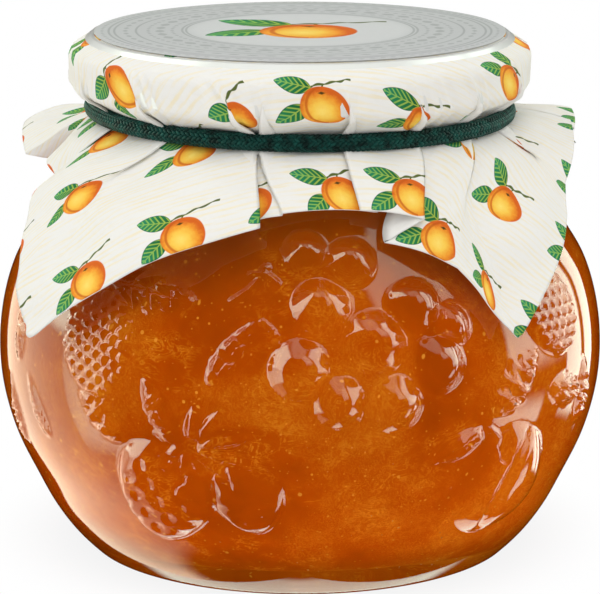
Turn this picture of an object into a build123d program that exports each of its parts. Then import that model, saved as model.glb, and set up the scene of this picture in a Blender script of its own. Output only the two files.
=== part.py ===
"""A squat round jam jar: embossed glass, apricot jam, a metal lid, a square paper cover over the
lid, the elastic cord that gathers the cover under the lid's edge, and a round paper label on top.

Millimetres. +Z is up, the origin is on the jar's axis at the plane that it stands on, and -Y is
the front. Every piece is a body of revolution about Z, apart from the cover's gathered skirt and
the embossed fruit.
"""

from build123d import *
import math
import os

# Glass body: radii and heights of the points that its outline passes through
foot_radius = 39.6
foot_ring_width = 4.5
punt_rise = 2.2
heel_radius = 48.9
heel_height = 14.0
belly_radius = 55.0
belly_height = 36.5
shoulder_radius = 47.6
shoulder_height = 60.0
collar_height = 72.5
glass_wall = 2.6
base_thickness = 4.2

# Neck and mouth
neck_rise = 5.1
neck_length = 4.0
neck_inset = 1.65
collar_step = 5.35
finish_radius = 37.4
finish_length = 11.0
finish_rounding = 0.8
rim_width = 4.0

# Jam, filled to a little above the collar
fill_above_collar = 3.0

# Metal lid
lid_overhang = 3.8
lid_metal = 0.5
lid_edge_drop = 2.8
lid_depth = 8.9
lid_curl = 0.9
panel_clearance = 0.2

# Paper cover, drawn over the lid, gathered at the neck and cut square
paper = 0.25
cover_gap = 0.1
skirt_drop = (3.4, 8.2, 18.4, 32.4)
skirt_stand = (0.3, 3.9, 5.9, 8.7)
skirt_wave = (0.3, 1.1, 2.2, 3.2)
skirt_waves = 8
points_per_wave = 6
hem_square = 90.0
cover_turn = -7.0
tuck_count = 20
tuck_width = 0.6
tuck_rise = 0.9

# Elastic cord and top label
cord_diameter = 2.8
label_margin = 0.6
label_thickness = 0.12

# Embossed fruit, the same on both halves of the mould
mould_halves = 2
grape_radius = 5.4
grape_rise = 1.1
grape_pitch = 8.8
grape_rows = (3, 3, 2, 1)
grape_bunch_top = 54.0
grape_bunch_turn = 13.0
fruit_radius = 8.0
fruit_rise = 1.6
fruits = ((-50.0, 46.0), (-26.0, 21.0), (46.0, 24.0), (74.0, 47.0))

neck_radius = finish_radius - neck_inset
neck_bottom = collar_height + neck_rise
neck_top = neck_bottom + neck_length
collar_radius = neck_radius + collar_step
mouth_radius = finish_radius - rim_width
rim_height = neck_top + finish_length
fill_height = collar_height + fill_above_collar
lid_radius = finish_radius + lid_overhang
lid_panel_radius = finish_radius + panel_clearance
lid_top = rim_height + lid_metal
lid_skirt_bottom = lid_top - lid_depth
cover_top = lid_top + paper
gather_radius = neck_radius + paper
cord_height = (neck_bottom + neck_top) / 2
label_radius = lid_panel_radius - label_margin


def inset(point, inwards, upwards):
    """A point of the outline, moved towards the axis and up."""
    return (point[0] - inwards, point[1] + upwards)


def radius_at(outline, height):
    """Radius at which an outline that climbs steadily passes a height."""
    low, high = 0.0, 1.0
    for _ in range(40):
        middle = (low + high) / 2
        if (outline @ middle).Y < height:
            low = middle
        else:
            high = middle
    return (outline @ low).X


def cap_ball(cap_radius, rise):
    """Radius of the ball that shows a cap of that radius and rise."""
    return (cap_radius**2 + rise**2) / (2 * rise)


def cap_centre(outline, turn, height, rise, ball):
    """Centre of the ball whose cap stands proud of the body by rise.

    The turn is in degrees from the front, positive towards the right.
    """
    step = 0.5
    above, below = radius_at(outline, height + step), radius_at(outline, height - step)
    outward = Vector(2 * step, below - above).normalized()
    radius = radius_at(outline, height) + (rise - ball) * outward.X
    angle = math.radians(turn - 90)
    return (radius * math.cos(angle), radius * math.sin(angle), height + (rise - ball) * outward.Y)


def bunch_places():
    """(turn, height) of every grape of one bunch, in rows that narrow downwards."""
    row_drop = grape_pitch * math.sin(math.radians(60))
    places = []
    for row, count in enumerate(grape_rows):
        for k in range(count):
            across = (k - (count - 1) / 2) * grape_pitch
            turn = grape_bunch_turn + math.degrees(across / belly_radius)
            places.append((turn, grape_bunch_top - row * row_drop))
    return places


def wavy_ring(radius, wave):
    """Points round a ring whose radius swings in and out skirt_waves times."""
    count = skirt_waves * points_per_wave
    ring = []
    for k in range(count):
        angle = 2 * math.pi * k / count
        swing = radius + wave * math.cos(skirt_waves * angle)
        ring.append((swing * math.cos(angle), swing * math.sin(angle)))
    return ring


# ---- Outlines shared by the glass and the jam ----------------------------------------------
body_points = [
    (foot_radius, 0),
    (heel_radius, heel_height),
    (belly_radius, belly_height),
    (shoulder_radius, shoulder_height),
    (collar_radius, collar_height),
]
body_tangents = [(1.0, 1.15), (0.45, 1.0), (0.0, 1.0), (-0.56, 1.0), (-0.5, 1.0)]
wall_points = [
    inset(body_points[0], glass_wall, base_thickness),
    inset(body_points[1], glass_wall, glass_wall / 2),
    inset(body_points[2], glass_wall, 0),
    inset(body_points[3], glass_wall, -glass_wall / 2),
    inset(body_points[4], glass_wall, -glass_wall / 2),
]

with BuildSketch(Plane.XZ) as body_face:
    with BuildLine():
        foot_inside = foot_radius - foot_ring_width
        Spline((0, punt_rise), (foot_inside, 0), tangents=[(1, 0), (1, -0.2)])
        Line((foot_inside, 0), (foot_radius, 0))
        outline = Spline(*body_points, tangents=body_tangents)
        Spline(
            (collar_radius, collar_height),
            (neck_radius, neck_bottom),
            tangents=[body_tangents[-1], (-0.3, 1)],
        )
        Line((neck_radius, neck_bottom), (neck_radius, neck_top))
        FilletPolyline(
            (neck_radius, neck_top),
            (finish_radius, neck_top + 2 * finish_rounding),
            (finish_radius, rim_height),
            (0, rim_height),
            radius=finish_rounding,
        )
        Line((0, rim_height), (0, punt_rise))
    make_face()

with BuildSketch(Plane.XZ) as room_face:
    with BuildLine():
        Line((0, rim_height), (mouth_radius, rim_height))
        Line((mouth_radius, rim_height), (mouth_radius, neck_bottom))
        Spline(
            (mouth_radius, neck_bottom),
            wall_points[-1],
            tangents=[(0, -1), (0.5, -1)],
        )
        Spline(
            *reversed(wall_points),
            tangents=[(-across, -up) for across, up in reversed(body_tangents)],
        )
        Spline(
            wall_points[0],
            (0, base_thickness + punt_rise),
            tangents=[(-1, -0.2), (-1, 0)],
        )
        Line((0, base_thickness + punt_rise), (0, rim_height))
    make_face()

# ---- Glass jar -----------------------------------------------------------------------------
with BuildPart() as glass_jar:
    revolve(body_face.sketch, axis=Axis.Z)
    grape_ball = cap_ball(grape_radius, grape_rise)
    fruit_ball = cap_ball(fruit_radius, fruit_rise)
    for half in range(mould_halves):
        half_turn = half * 360 / mould_halves
        for turn, height in bunch_places():
            centre = cap_centre(outline, turn + half_turn, height, grape_rise, grape_ball)
            with Locations(centre):
                Sphere(grape_ball)
        for turn, height in fruits:
            centre = cap_centre(outline, turn + half_turn, height, fruit_rise, fruit_ball)
            with Locations(centre):
                Sphere(fruit_ball)
    revolve(room_face.sketch, axis=Axis.Z, mode=Mode.SUBTRACT)
    fillet(
        glass_jar.edges().filter_by(GeomType.CIRCLE).group_by(Axis.Z)[-1].sort_by(SortBy.RADIUS)[0],
        finish_rounding,
    )
glass_jar.part.label = "glass_jar"

# ---- Jam -----------------------------------------------------------------------------------
with BuildPart() as jam:
    revolve(room_face.sketch, axis=Axis.Z)
    split(bisect_by=Plane.XY.offset(fill_height), keep=Keep.BOTTOM)
jam.part.label = "jam"

# ---- Metal lid -----------------------------------------------------------------------------
with BuildPart() as lid:
    with BuildSketch(Plane.XZ):
        with BuildLine():
            half_metal = lid_metal / 2
            FilletPolyline(
                (0, lid_top - half_metal),
                (lid_panel_radius, lid_top - half_metal),
                (lid_radius - half_metal, lid_top - half_metal - lid_edge_drop),
                (lid_radius - half_metal, lid_skirt_bottom + half_metal),
                (lid_radius - half_metal - lid_curl, lid_skirt_bottom + half_metal),
                radius=lid_curl / 2,
            )
        trace(line_width=lid_metal)
        with Locations((-lid_metal, lid_top - half_metal)):
            Rectangle(2 * lid_metal, 4 * lid_metal, mode=Mode.SUBTRACT)
    revolve(axis=Axis.Z)
lid.part.label = "lid"

# ---- Paper cover ---------------------------------------------------------------------------
gather_top = cord_height + cord_diameter / 2
gather_bottom = cord_height - cord_diameter / 2
skirt_heights = [gather_bottom - drop for drop in skirt_drop]
skirt_radii = [
    (radius_at(outline, height) if height < collar_height else collar_radius) + stand
    for height, stand in zip(skirt_heights, skirt_stand)
]

with BuildPart() as skirt:
    for wall, mode in ((0.0, Mode.ADD), (paper, Mode.SUBTRACT)):
        with BuildPart(mode=mode):
            with BuildSketch(Plane.XY.offset(gather_bottom)):
                Circle(gather_radius - wall)
            for height, radius, wave in zip(skirt_heights, skirt_radii, skirt_wave):
                with BuildSketch(Plane.XY.offset(height)):
                    with BuildLine():
                        Spline(*wavy_ring(radius - wall, wave), periodic=True)
                    make_face()
            loft()
    with BuildSketch(Plane.XY.offset(gather_bottom)) as hem:
        Rectangle(hem_square, hem_square, rotation=cover_turn)
    extrude(hem.sketch, amount=-skirt_drop[-1], mode=Mode.INTERSECT)

with BuildPart() as paper_cover:
    half_paper = paper / 2
    drum_radius = lid_radius + cover_gap + half_paper
    edge_height = lid_top - lid_edge_drop + cover_gap
    with BuildSketch(Plane.XZ):
        with BuildLine():
            FilletPolyline(
                (0, lid_top + half_paper),
                (lid_panel_radius + cover_gap + paper, lid_top + half_paper),
                (drum_radius, edge_height),
                (drum_radius, lid_skirt_bottom - paper),
                (gather_radius - half_paper, gather_top),
                (gather_radius - half_paper, gather_bottom),
                radius=lid_curl / 2,
            )
        trace(line_width=paper)
        with Locations((-paper, lid_top + half_paper)):
            Rectangle(2 * paper, 4 * paper, mode=Mode.SUBTRACT)
    revolve(axis=Axis.Z)
    # Tucks, pinched into the slope between the lid's edge and the cord
    with BuildPart(mode=Mode.PRIVATE) as tuck:
        with BuildSketch(Plane.XZ):
            with BuildLine():
                Polyline(
                    (drum_radius, edge_height - tuck_rise),
                    (drum_radius + tuck_rise, lid_skirt_bottom),
                    (gather_radius + tuck_rise, gather_top + half_paper),
                    (gather_radius - half_paper, gather_top),
                    (drum_radius, lid_skirt_bottom - paper),
                    close=True,
                )
            make_face()
        extrude(amount=tuck_width / 2, both=True)
    with PolarLocations(0, tuck_count):
        add(tuck.part)
    add(skirt.part)
paper_cover.part.label = "paper_cover"

# ---- Elastic cord --------------------------------------------------------------------------
with BuildPart() as elastic_cord:
    with BuildSketch(Plane.XZ):
        with Locations((gather_radius + cord_diameter / 2, cord_height)):
            Circle(cord_diameter / 2)
    revolve(axis=Axis.Z)
elastic_cord.part.label = "elastic_cord"

# ---- Top label -----------------------------------------------------------------------------
with BuildPart() as top_label:
    with BuildSketch(Plane.XY.offset(cover_top)):
        Circle(label_radius)
    extrude(amount=label_thickness)
top_label.part.label = "top_label"

os.makedirs("parts", exist_ok=True)
export_step(glass_jar.part, "parts/glass_jar.step")
export_step(jam.part, "parts/jam.step")
export_step(lid.part, "parts/lid.step")
export_step(paper_cover.part, "parts/paper_cover.step")
export_step(elastic_cord.part, "parts/elastic_cord.step")
export_step(top_label.part, "parts/top_label.step")
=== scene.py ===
"""Builds the look of a round jam jar: embossed glass, apricot jam with its bubbles and pulp, a
gathered paper cover printed with apricots, a braided elastic cord and a round top label.

Sizes in the classes are millimetres; meshes are in metres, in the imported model's frame. The
origin is on the jar's axis at the plane that it stands on, +Z is up and -Y is the front. A turn
is an angle in degrees round the axis from the front, positive towards the right.
"""

from __future__ import annotations

import logging
import math
from dataclasses import dataclass
from enum import Enum
from typing import Any, Sequence

import bpy  # noqa: E402
import numpy as np  # noqa: E402
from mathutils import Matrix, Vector  # noqa: E402

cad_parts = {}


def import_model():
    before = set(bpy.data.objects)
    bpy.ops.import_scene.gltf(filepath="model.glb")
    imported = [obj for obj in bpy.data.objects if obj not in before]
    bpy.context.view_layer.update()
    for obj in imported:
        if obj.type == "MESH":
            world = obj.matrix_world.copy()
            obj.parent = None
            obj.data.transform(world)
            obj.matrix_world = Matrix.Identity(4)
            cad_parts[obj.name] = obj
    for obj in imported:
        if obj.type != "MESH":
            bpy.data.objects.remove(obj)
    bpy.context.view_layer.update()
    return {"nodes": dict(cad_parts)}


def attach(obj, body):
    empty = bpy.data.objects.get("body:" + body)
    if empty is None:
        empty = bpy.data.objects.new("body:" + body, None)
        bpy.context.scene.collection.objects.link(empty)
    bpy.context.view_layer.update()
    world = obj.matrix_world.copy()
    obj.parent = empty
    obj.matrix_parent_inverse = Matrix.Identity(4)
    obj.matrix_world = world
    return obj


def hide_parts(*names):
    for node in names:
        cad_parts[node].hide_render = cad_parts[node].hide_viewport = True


LOG = logging.getLogger("jam_jar")
MM = 0.001
BODY = "root"
Colour = tuple[float, float, float]
Array = np.ndarray
Piece = bpy.types.Object
Material = bpy.types.Material


# ---- Small helpers for meshes and node trees ----


def smoothstep(value: Array, low: float = 0.0, high: float = 1.0) -> Array:
    """Eases each value from 0 at low to 1 at high.

    Args:
        value: The values to ease.
        low: Where the result leaves 0.
        high: Where the result reaches 1.

    Returns:
        The eased values.
    """
    t = np.clip((value - low) / (high - low), 0.0, 1.0)
    return t * t * (3 - 2 * t)


def on_axis(radius: Array, turn: Array, height: Array) -> Array:
    """Turns cylinder coordinates into points.

    Args:
        radius: Distances from the axis, in millimetres.
        turn: Angles from the front, in degrees.
        height: Heights, in millimetres.

    Returns:
        Points in metres, with the coordinates on the last axis.
    """
    angle = np.radians(turn)
    radius, angle, height = np.broadcast_arrays(radius, angle, height)
    return np.stack([radius * np.sin(angle), -radius * np.cos(angle), height], axis=-1) * MM


class Shell:
    """Collects vertices and faces of one mesh, and turns them into an object."""

    def __init__(self) -> None:
        """Starts with nothing."""
        self.vertices: list[Array] = []
        self.faces: list[tuple[int, ...]] = []
        self.count = 0

    def add(self, points: Array) -> Array:
        """Adds points to the shell.

        Args:
            points: A grid of points, in metres.

        Returns:
            Their indices, in the shape of the grid.
        """
        flat = points.reshape(-1, 3)
        start = self.count
        self.vertices.append(flat)
        self.count += len(flat)
        return np.arange(start, self.count).reshape(points.shape[:-1])

    def rings(self, outline: Sequence[tuple[float, float]], turns: Array) -> Array:
        """Adds a ring for each (radius, height) of an outline and returns their indices."""
        radii, heights = np.array(outline).T
        return self.add(on_axis(radii[:, None], turns[None, :], heights[:, None]))

    def bands(self, rows: Array, closed: bool = True) -> None:
        """Joins neighbouring rows of indices with quads.

        Args:
            rows: Indices, one row after another along the outline.
            closed: Whether the last column joins the first.
        """
        after = np.roll(rows, -1, axis=1) if closed else rows[:, 1:]
        here = rows if closed else rows[:, :-1]
        quads = np.stack([here[:-1], after[:-1], after[1:], here[1:]], axis=-1)
        self.faces.extend(map(tuple, quads.reshape(-1, 4).tolist()))

    def thin_out(self, fine: Array, coarse: Array, upward: bool) -> None:
        """Joins a fine ring to a coarse one whose count divides the fine ring's.

        Args:
            fine: Indices of the fine ring.
            coarse: Indices of the coarse ring.
            upward: Whether the coarse ring comes after the fine one along the outline.
        """
        step = len(fine) // len(coarse)
        for j, corner in enumerate(coarse.tolist()):
            after = int(coarse[(j + 1) % len(coarse)])
            fan = [int(fine[(j * step + k) % len(fine)]) for k in range(step + 1)]
            triangles = [(fan[k], fan[k + 1], corner) for k in range(step)]
            triangles.append((fan[-1], after, corner))
            self.faces.extend(t if upward else t[::-1] for t in triangles)

    def pole(self, ring: Array, height: float, upward: bool) -> None:
        """Closes a ring with a fan round one point of the axis.

        Args:
            ring: Indices of the ring.
            height: The point's height, in millimetres.
            upward: Whether the point comes after the ring along the outline.
        """
        tip = int(self.add(np.array([[0.0, 0.0, height * MM]]))[0])
        for here, after in zip(ring.tolist(), np.roll(ring, -1).tolist()):
            self.faces.append((here, after, tip) if upward else (after, here, tip))

    def finish(self, name: str) -> Piece:
        """Makes the object, with smooth shading.

        Args:
            name: The piece's name.

        Returns:
            The new object, linked to the scene.
        """
        mesh = bpy.data.meshes.new(name)
        mesh.from_pydata(np.concatenate(self.vertices).tolist(), [], self.faces)
        mesh.polygons.foreach_set("use_smooth", [True] * len(mesh.polygons))
        mesh.update()
        piece = bpy.data.objects.new(name, mesh)
        bpy.context.scene.collection.objects.link(piece)
        return piece


class Wiring:
    """Builds a node tree with one short call for each node."""

    def __init__(self, tree: bpy.types.NodeTree) -> None:
        """Works on a tree that is already there."""
        self.tree = tree

    def node(
        self, kind: str, inputs: dict[Any, Any] | None = None, **settings: Any
    ) -> bpy.types.Node:
        """Adds a node.

        Args:
            kind: The node's type.
            inputs: Values or sockets for its inputs, by name or position.
            **settings: Attributes of the node.

        Returns:
            The new node.
        """
        made = self.tree.nodes.new(kind)
        for key, value in settings.items():
            setattr(made, key, value)
        for key, value in (inputs or {}).items():
            self.feed(made.inputs[key], value)
        return made

    def feed(self, socket: bpy.types.NodeSocket, value: Any) -> None:
        """Links a socket to the input, or sets its value.

        Args:
            socket: The input.
            value: A socket, a number, a vector, or a colour without alpha.
        """
        if isinstance(value, bpy.types.NodeSocket):
            self.tree.links.new(value, socket)
        elif isinstance(value, tuple) and len(value) == 3 and socket.type == "RGBA":
            socket.default_value = (*value, 1.0)
        else:
            socket.default_value = value

    def math(self, operation: str, a: Any, b: Any = 0.0, c: Any = 0.0) -> Any:
        """Adds a Math node and returns its output."""
        return self.node("ShaderNodeMath", {0: a, 1: b, 2: c}, operation=operation).outputs[0]

    def plus(self, a: Any, b: Any) -> Any:
        """Adds two values."""
        return self.math("ADD", a, b)

    def minus(self, a: Any, b: Any) -> Any:
        """Takes the second value from the first."""
        return self.math("SUBTRACT", a, b)

    def times(self, a: Any, b: Any) -> Any:
        """Multiplies two values."""
        return self.math("MULTIPLY", a, b)

    def over(self, a: Any, b: Any) -> Any:
        """Divides the first value by the second."""
        return self.math("DIVIDE", a, b)

    def larger(self, a: Any, b: Any) -> Any:
        """Picks the larger of two values."""
        return self.math("MAXIMUM", a, b)

    def size(self, a: Any) -> Any:
        """Drops a value's sign."""
        return self.math("ABSOLUTE", a)

    def sine(self, a: Any) -> Any:
        """The sine of an angle in radians."""
        return self.math("SINE", a)

    def cosine(self, a: Any) -> Any:
        """The cosine of an angle in radians."""
        return self.math("COSINE", a)

    def length(self, x: Any, y: Any) -> Any:
        """The length of a flat vector."""
        return self.math("SQRT", self.plus(self.times(x, x), self.times(y, y)))

    def vectors(self, operation: str, a: Any, b: Any) -> Any:
        """Adds a Vector Math node and returns its output."""
        return self.node("ShaderNodeVectorMath", {0: a, 1: b}, operation=operation).outputs[0]

    def stretch(self, vector: Any, factor: Any) -> Any:
        """Multiplies a vector by a number."""
        inputs = {0: vector, "Scale": factor}
        return self.node("ShaderNodeVectorMath", inputs, operation="SCALE").outputs[0]

    def place(self) -> Any:
        """The place that is shaded, in the object's own coordinates."""
        return self.node("ShaderNodeTexCoord").outputs["Object"]

    def ease(self, value: Any, low: Any, high: Any) -> Any:
        """Eases a value from 0 at low to 1 at high, and returns the output."""
        inputs = {"Value": value, "From Min": low, "From Max": high}
        return self.node("ShaderNodeMapRange", inputs, interpolation_type="SMOOTHSTEP").outputs[0]

    def fade(self, value: Any, low: Any, high: Any) -> Any:
        """Eases a value from 1 at low to 0 at high, and returns the output."""
        return self.minus(1.0, self.ease(value, low, high))

    def blend(self, factor: Any, a: Any, b: Any, mode: str = "MIX") -> Any:
        """Mixes two colours.

        Args:
            factor: The second colour's share.
            a: The first colour.
            b: The second colour.
            mode: The node's blend type.

        Returns:
            The mixed colour.
        """
        kind = {"data_type": "RGBA", "blend_type": mode, "clamp_factor": True}
        return self.node("ShaderNodeMix", {0: factor, 6: a, 7: b}, **kind).outputs[2]

    def ramp(self, factor: Any, stops: Sequence[tuple[float, Colour]]) -> Any:
        """Adds a colour ramp.

        Args:
            factor: The place on the ramp.
            stops: The ramp's places and colours.

        Returns:
            The ramp's colour.
        """
        made = self.node("ShaderNodeValToRGB", {0: factor})
        elements = made.color_ramp.elements
        while len(elements) < len(stops):
            elements.new(0.5)
        for element, (place, colour) in zip(elements, stops):
            element.position = place
            element.color = (*colour, 1.0)
        return made.outputs[0]

    def noise(
        self, vector: Any, scale: float, detail: float = 2.0, rough: float = 0.5, warp: float = 0.0
    ) -> Any:
        """Adds a noise texture.

        Args:
            vector: Where the noise is read.
            scale: How fine it is.
            detail: How many finer layers it has.
            rough: How strong the finer layers are.
            warp: How far it is distorted.

        Returns:
            The noise's value.
        """
        inputs = {"Vector": vector, "Scale": scale, "Detail": detail, "Roughness": rough}
        return self.node("ShaderNodeTexNoise", {**inputs, "Distortion": warp}).outputs[0]

    def vector(self, x: Any, y: Any, z: Any = 0.0) -> Any:
        """Combines three values and returns the vector."""
        return self.node("ShaderNodeCombineXYZ", {0: x, 1: y, 2: z}).outputs[0]

    def scaled(self, vector: Any, scale: tuple[float, float, float], turn: float = 0.0) -> Any:
        """Scales a vector, turned about Z by some degrees, and returns it."""
        inputs = {"Vector": vector, "Scale": scale, "Rotation": (0.0, 0.0, math.radians(turn))}
        return self.node("ShaderNodeMapping", inputs).outputs[0]

    def split(self, vector: Any) -> tuple[Any, Any, Any]:
        """Splits a vector into its three sockets."""
        made = self.node("ShaderNodeSeparateXYZ", {0: vector})
        return made.outputs[0], made.outputs[1], made.outputs[2]

    def bump(self, height: Any, strength: float, distance: float, normal: Any = None) -> Any:
        """Adds a bump.

        Args:
            height: The height to shade by.
            strength: How strong the bump is.
            distance: How far a height of 1 stands out, in metres.
            normal: The normal to start from, if there is one.

        Returns:
            The new normal.
        """
        inputs = {"Strength": strength, "Distance": distance, "Height": height}
        if normal is not None:
            inputs["Normal"] = normal
        return self.node("ShaderNodeBump", inputs).outputs[0]

    def cover(self, inputs: dict[str, Any]) -> None:
        """Gives the material a Principled surface with these inputs."""
        shader = self.node("ShaderNodeBsdfPrincipled", inputs)
        self.node("ShaderNodeOutputMaterial", {"Surface": shader.outputs[0]})


def new_material(name: str) -> tuple[Material, Wiring]:
    """Makes an empty node material.

    Args:
        name: The material's name.

    Returns:
        The material and the wiring of its tree.
    """
    material = bpy.data.materials.new(name)
    material.use_nodes = True
    material.node_tree.nodes.clear()
    return material, Wiring(material.node_tree)


# ---- Finishes ----


@dataclass(frozen=True)
class ClearGlass:
    """Colourless soda-lime glass, which lets the lamps' light through to the jam."""

    ior: float = 1.5
    tint: Colour = (0.985, 0.995, 0.99)

    def build(self) -> Material:
        """Makes the material.

        Returns:
            The new material.
        """
        material, w = new_material("clear_glass")
        glass = w.node("ShaderNodeBsdfGlass", {"Color": self.tint, "Roughness": 0.0, "IOR": self.ior})
        through = w.node("ShaderNodeBsdfTransparent", {"Color": (0.96, 0.97, 0.965)})
        path = w.node("ShaderNodeLightPath")
        pick = w.larger(path.outputs["Is Shadow Ray"], path.outputs["Is Diffuse Ray"])
        mixed = w.node("ShaderNodeMixShader", {0: pick, 1: glass.outputs[0], 2: through.outputs[0]})
        w.node("ShaderNodeOutputMaterial", {"Surface": mixed.outputs[0]})
        return material


@dataclass(frozen=True)
class ApricotJam:
    """Clear orange jelly with paler wisps of pulp, darker clouds and pin-point specks."""

    deep: Colour = (0.36, 0.05, 0.001)
    middle: Colour = (0.49, 0.07, 0.001)
    light: Colour = (0.62, 0.125, 0.004)
    thread: Colour = (0.7, 0.21, 0.01)
    # The colour of the painted shade under the cover.
    shaded: Colour = (0.3, 0.075, 0.003)
    speck: Colour = (0.9, 0.36, 0.03)

    def build(self) -> Material:
        """Makes the material.

        Returns:
            The new material.
        """
        material, w = new_material("apricot_jam")
        place = w.place()
        clouds = w.noise(place, 38.0, 3.0, 0.55, 0.6)
        blotch = w.noise(place, 120.0, 3.0, 0.6, 0.3)
        wisps = w.noise(w.scaled(place, (1.0, 1.0, 1.7), 25.0), 230.0, 4.0, 0.7, 1.6)
        tone = w.plus(w.times(clouds, 0.65), w.times(blotch, 0.35))
        body = w.ramp(tone, [(0.3, self.deep), (0.5, self.middle), (0.72, self.light)])
        fibre = w.size(w.minus(wisps, 0.5))
        fibre = w.fade(fibre, 0.0, 0.045)
        fibre = w.times(fibre, w.ease(blotch, 0.48, 0.7))
        body = w.blend(w.times(fibre, 0.9), body, self.thread)
        threads = w.noise(w.scaled(place, (1.6, 1.0, 1.0), -35.0), 420.0, 4.0, 0.75, 2.2)
        threads = w.fade(w.size(w.minus(threads, 0.5)), 0.0, 0.03)
        threads = w.times(threads, w.ease(clouds, 0.42, 0.62))
        body = w.blend(w.times(threads, 0.75), body, self.thread)
        # Painted light: the colour is made up to 1.45 times as bright towards the bottom, standing
        # for light bounced off the floor, and brighter towards the right side, standing for stronger
        # light from the right.
        across, _, height = w.split(place)
        gain = w.minus(1.45, w.times(w.ease(height, 0.008, 0.036), 0.45))
        gain = w.math("MULTIPLY_ADD", w.ease(across, 0.008, 0.04), 0.16, gain)
        body = w.blend(1.0, body, w.vector(gain, gain, gain), "MULTIPLY")
        for scale, largest, share in ((420.0, 0.24, 0.65), (640.0, 0.25, 0.5), (900.0, 0.25, 0.45)):
            inputs = {"Vector": place, "Scale": scale, "Randomness": 1.0}
            cells = w.node("ShaderNodeTexVoronoi", inputs)
            size = w.times(w.split(cells.outputs["Color"])[0], largest)
            dots = w.math("LESS_THAN", cells.outputs["Distance"], w.minus(size, 0.08))
            body = w.blend(w.times(dots, share), body, self.speck)
        # Painted shade: near its level, under the cover, the jam turns towards the darker shaded
        # colour.
        shade = w.times(w.ease(height, 0.048, 0.07), 0.55)
        body = w.blend(shade, body, self.shaded)
        w.cover(
            {
                "Base Color": body,
                "Roughness": 0.35,
                "Specular IOR Level": 0.0,
                "Subsurface Weight": 0.35,
                "Subsurface Radius": (1.0, 0.28, 0.05),
                "Subsurface Scale": 0.004,
            }
        )
        return material


@dataclass(frozen=True)
class JamPulpBeadAndGlint:
    """A pale bead of pulp just under the glass, which also stands for a bubble by a painted highlight
    of its bright rim.
    """

    colour: Colour = (0.9, 0.33, 0.03)

    def build(self) -> Material:
        """Makes the material.

        Returns:
            The new material.
        """
        material, w = new_material("jam_pulp_and_glint")
        place = w.place()
        # Painted highlight in part: the pale colour also stands for the bright rims of bubbles.
        tone = w.ramp(w.noise(place, 90.0), [(0.35, (0.55, 0.12, 0.005)), (0.65, self.colour)])
        inputs = {"Base Color": tone, "Roughness": 0.3, "Specular IOR Level": 0.3}
        w.cover(inputs)
        return material


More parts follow.
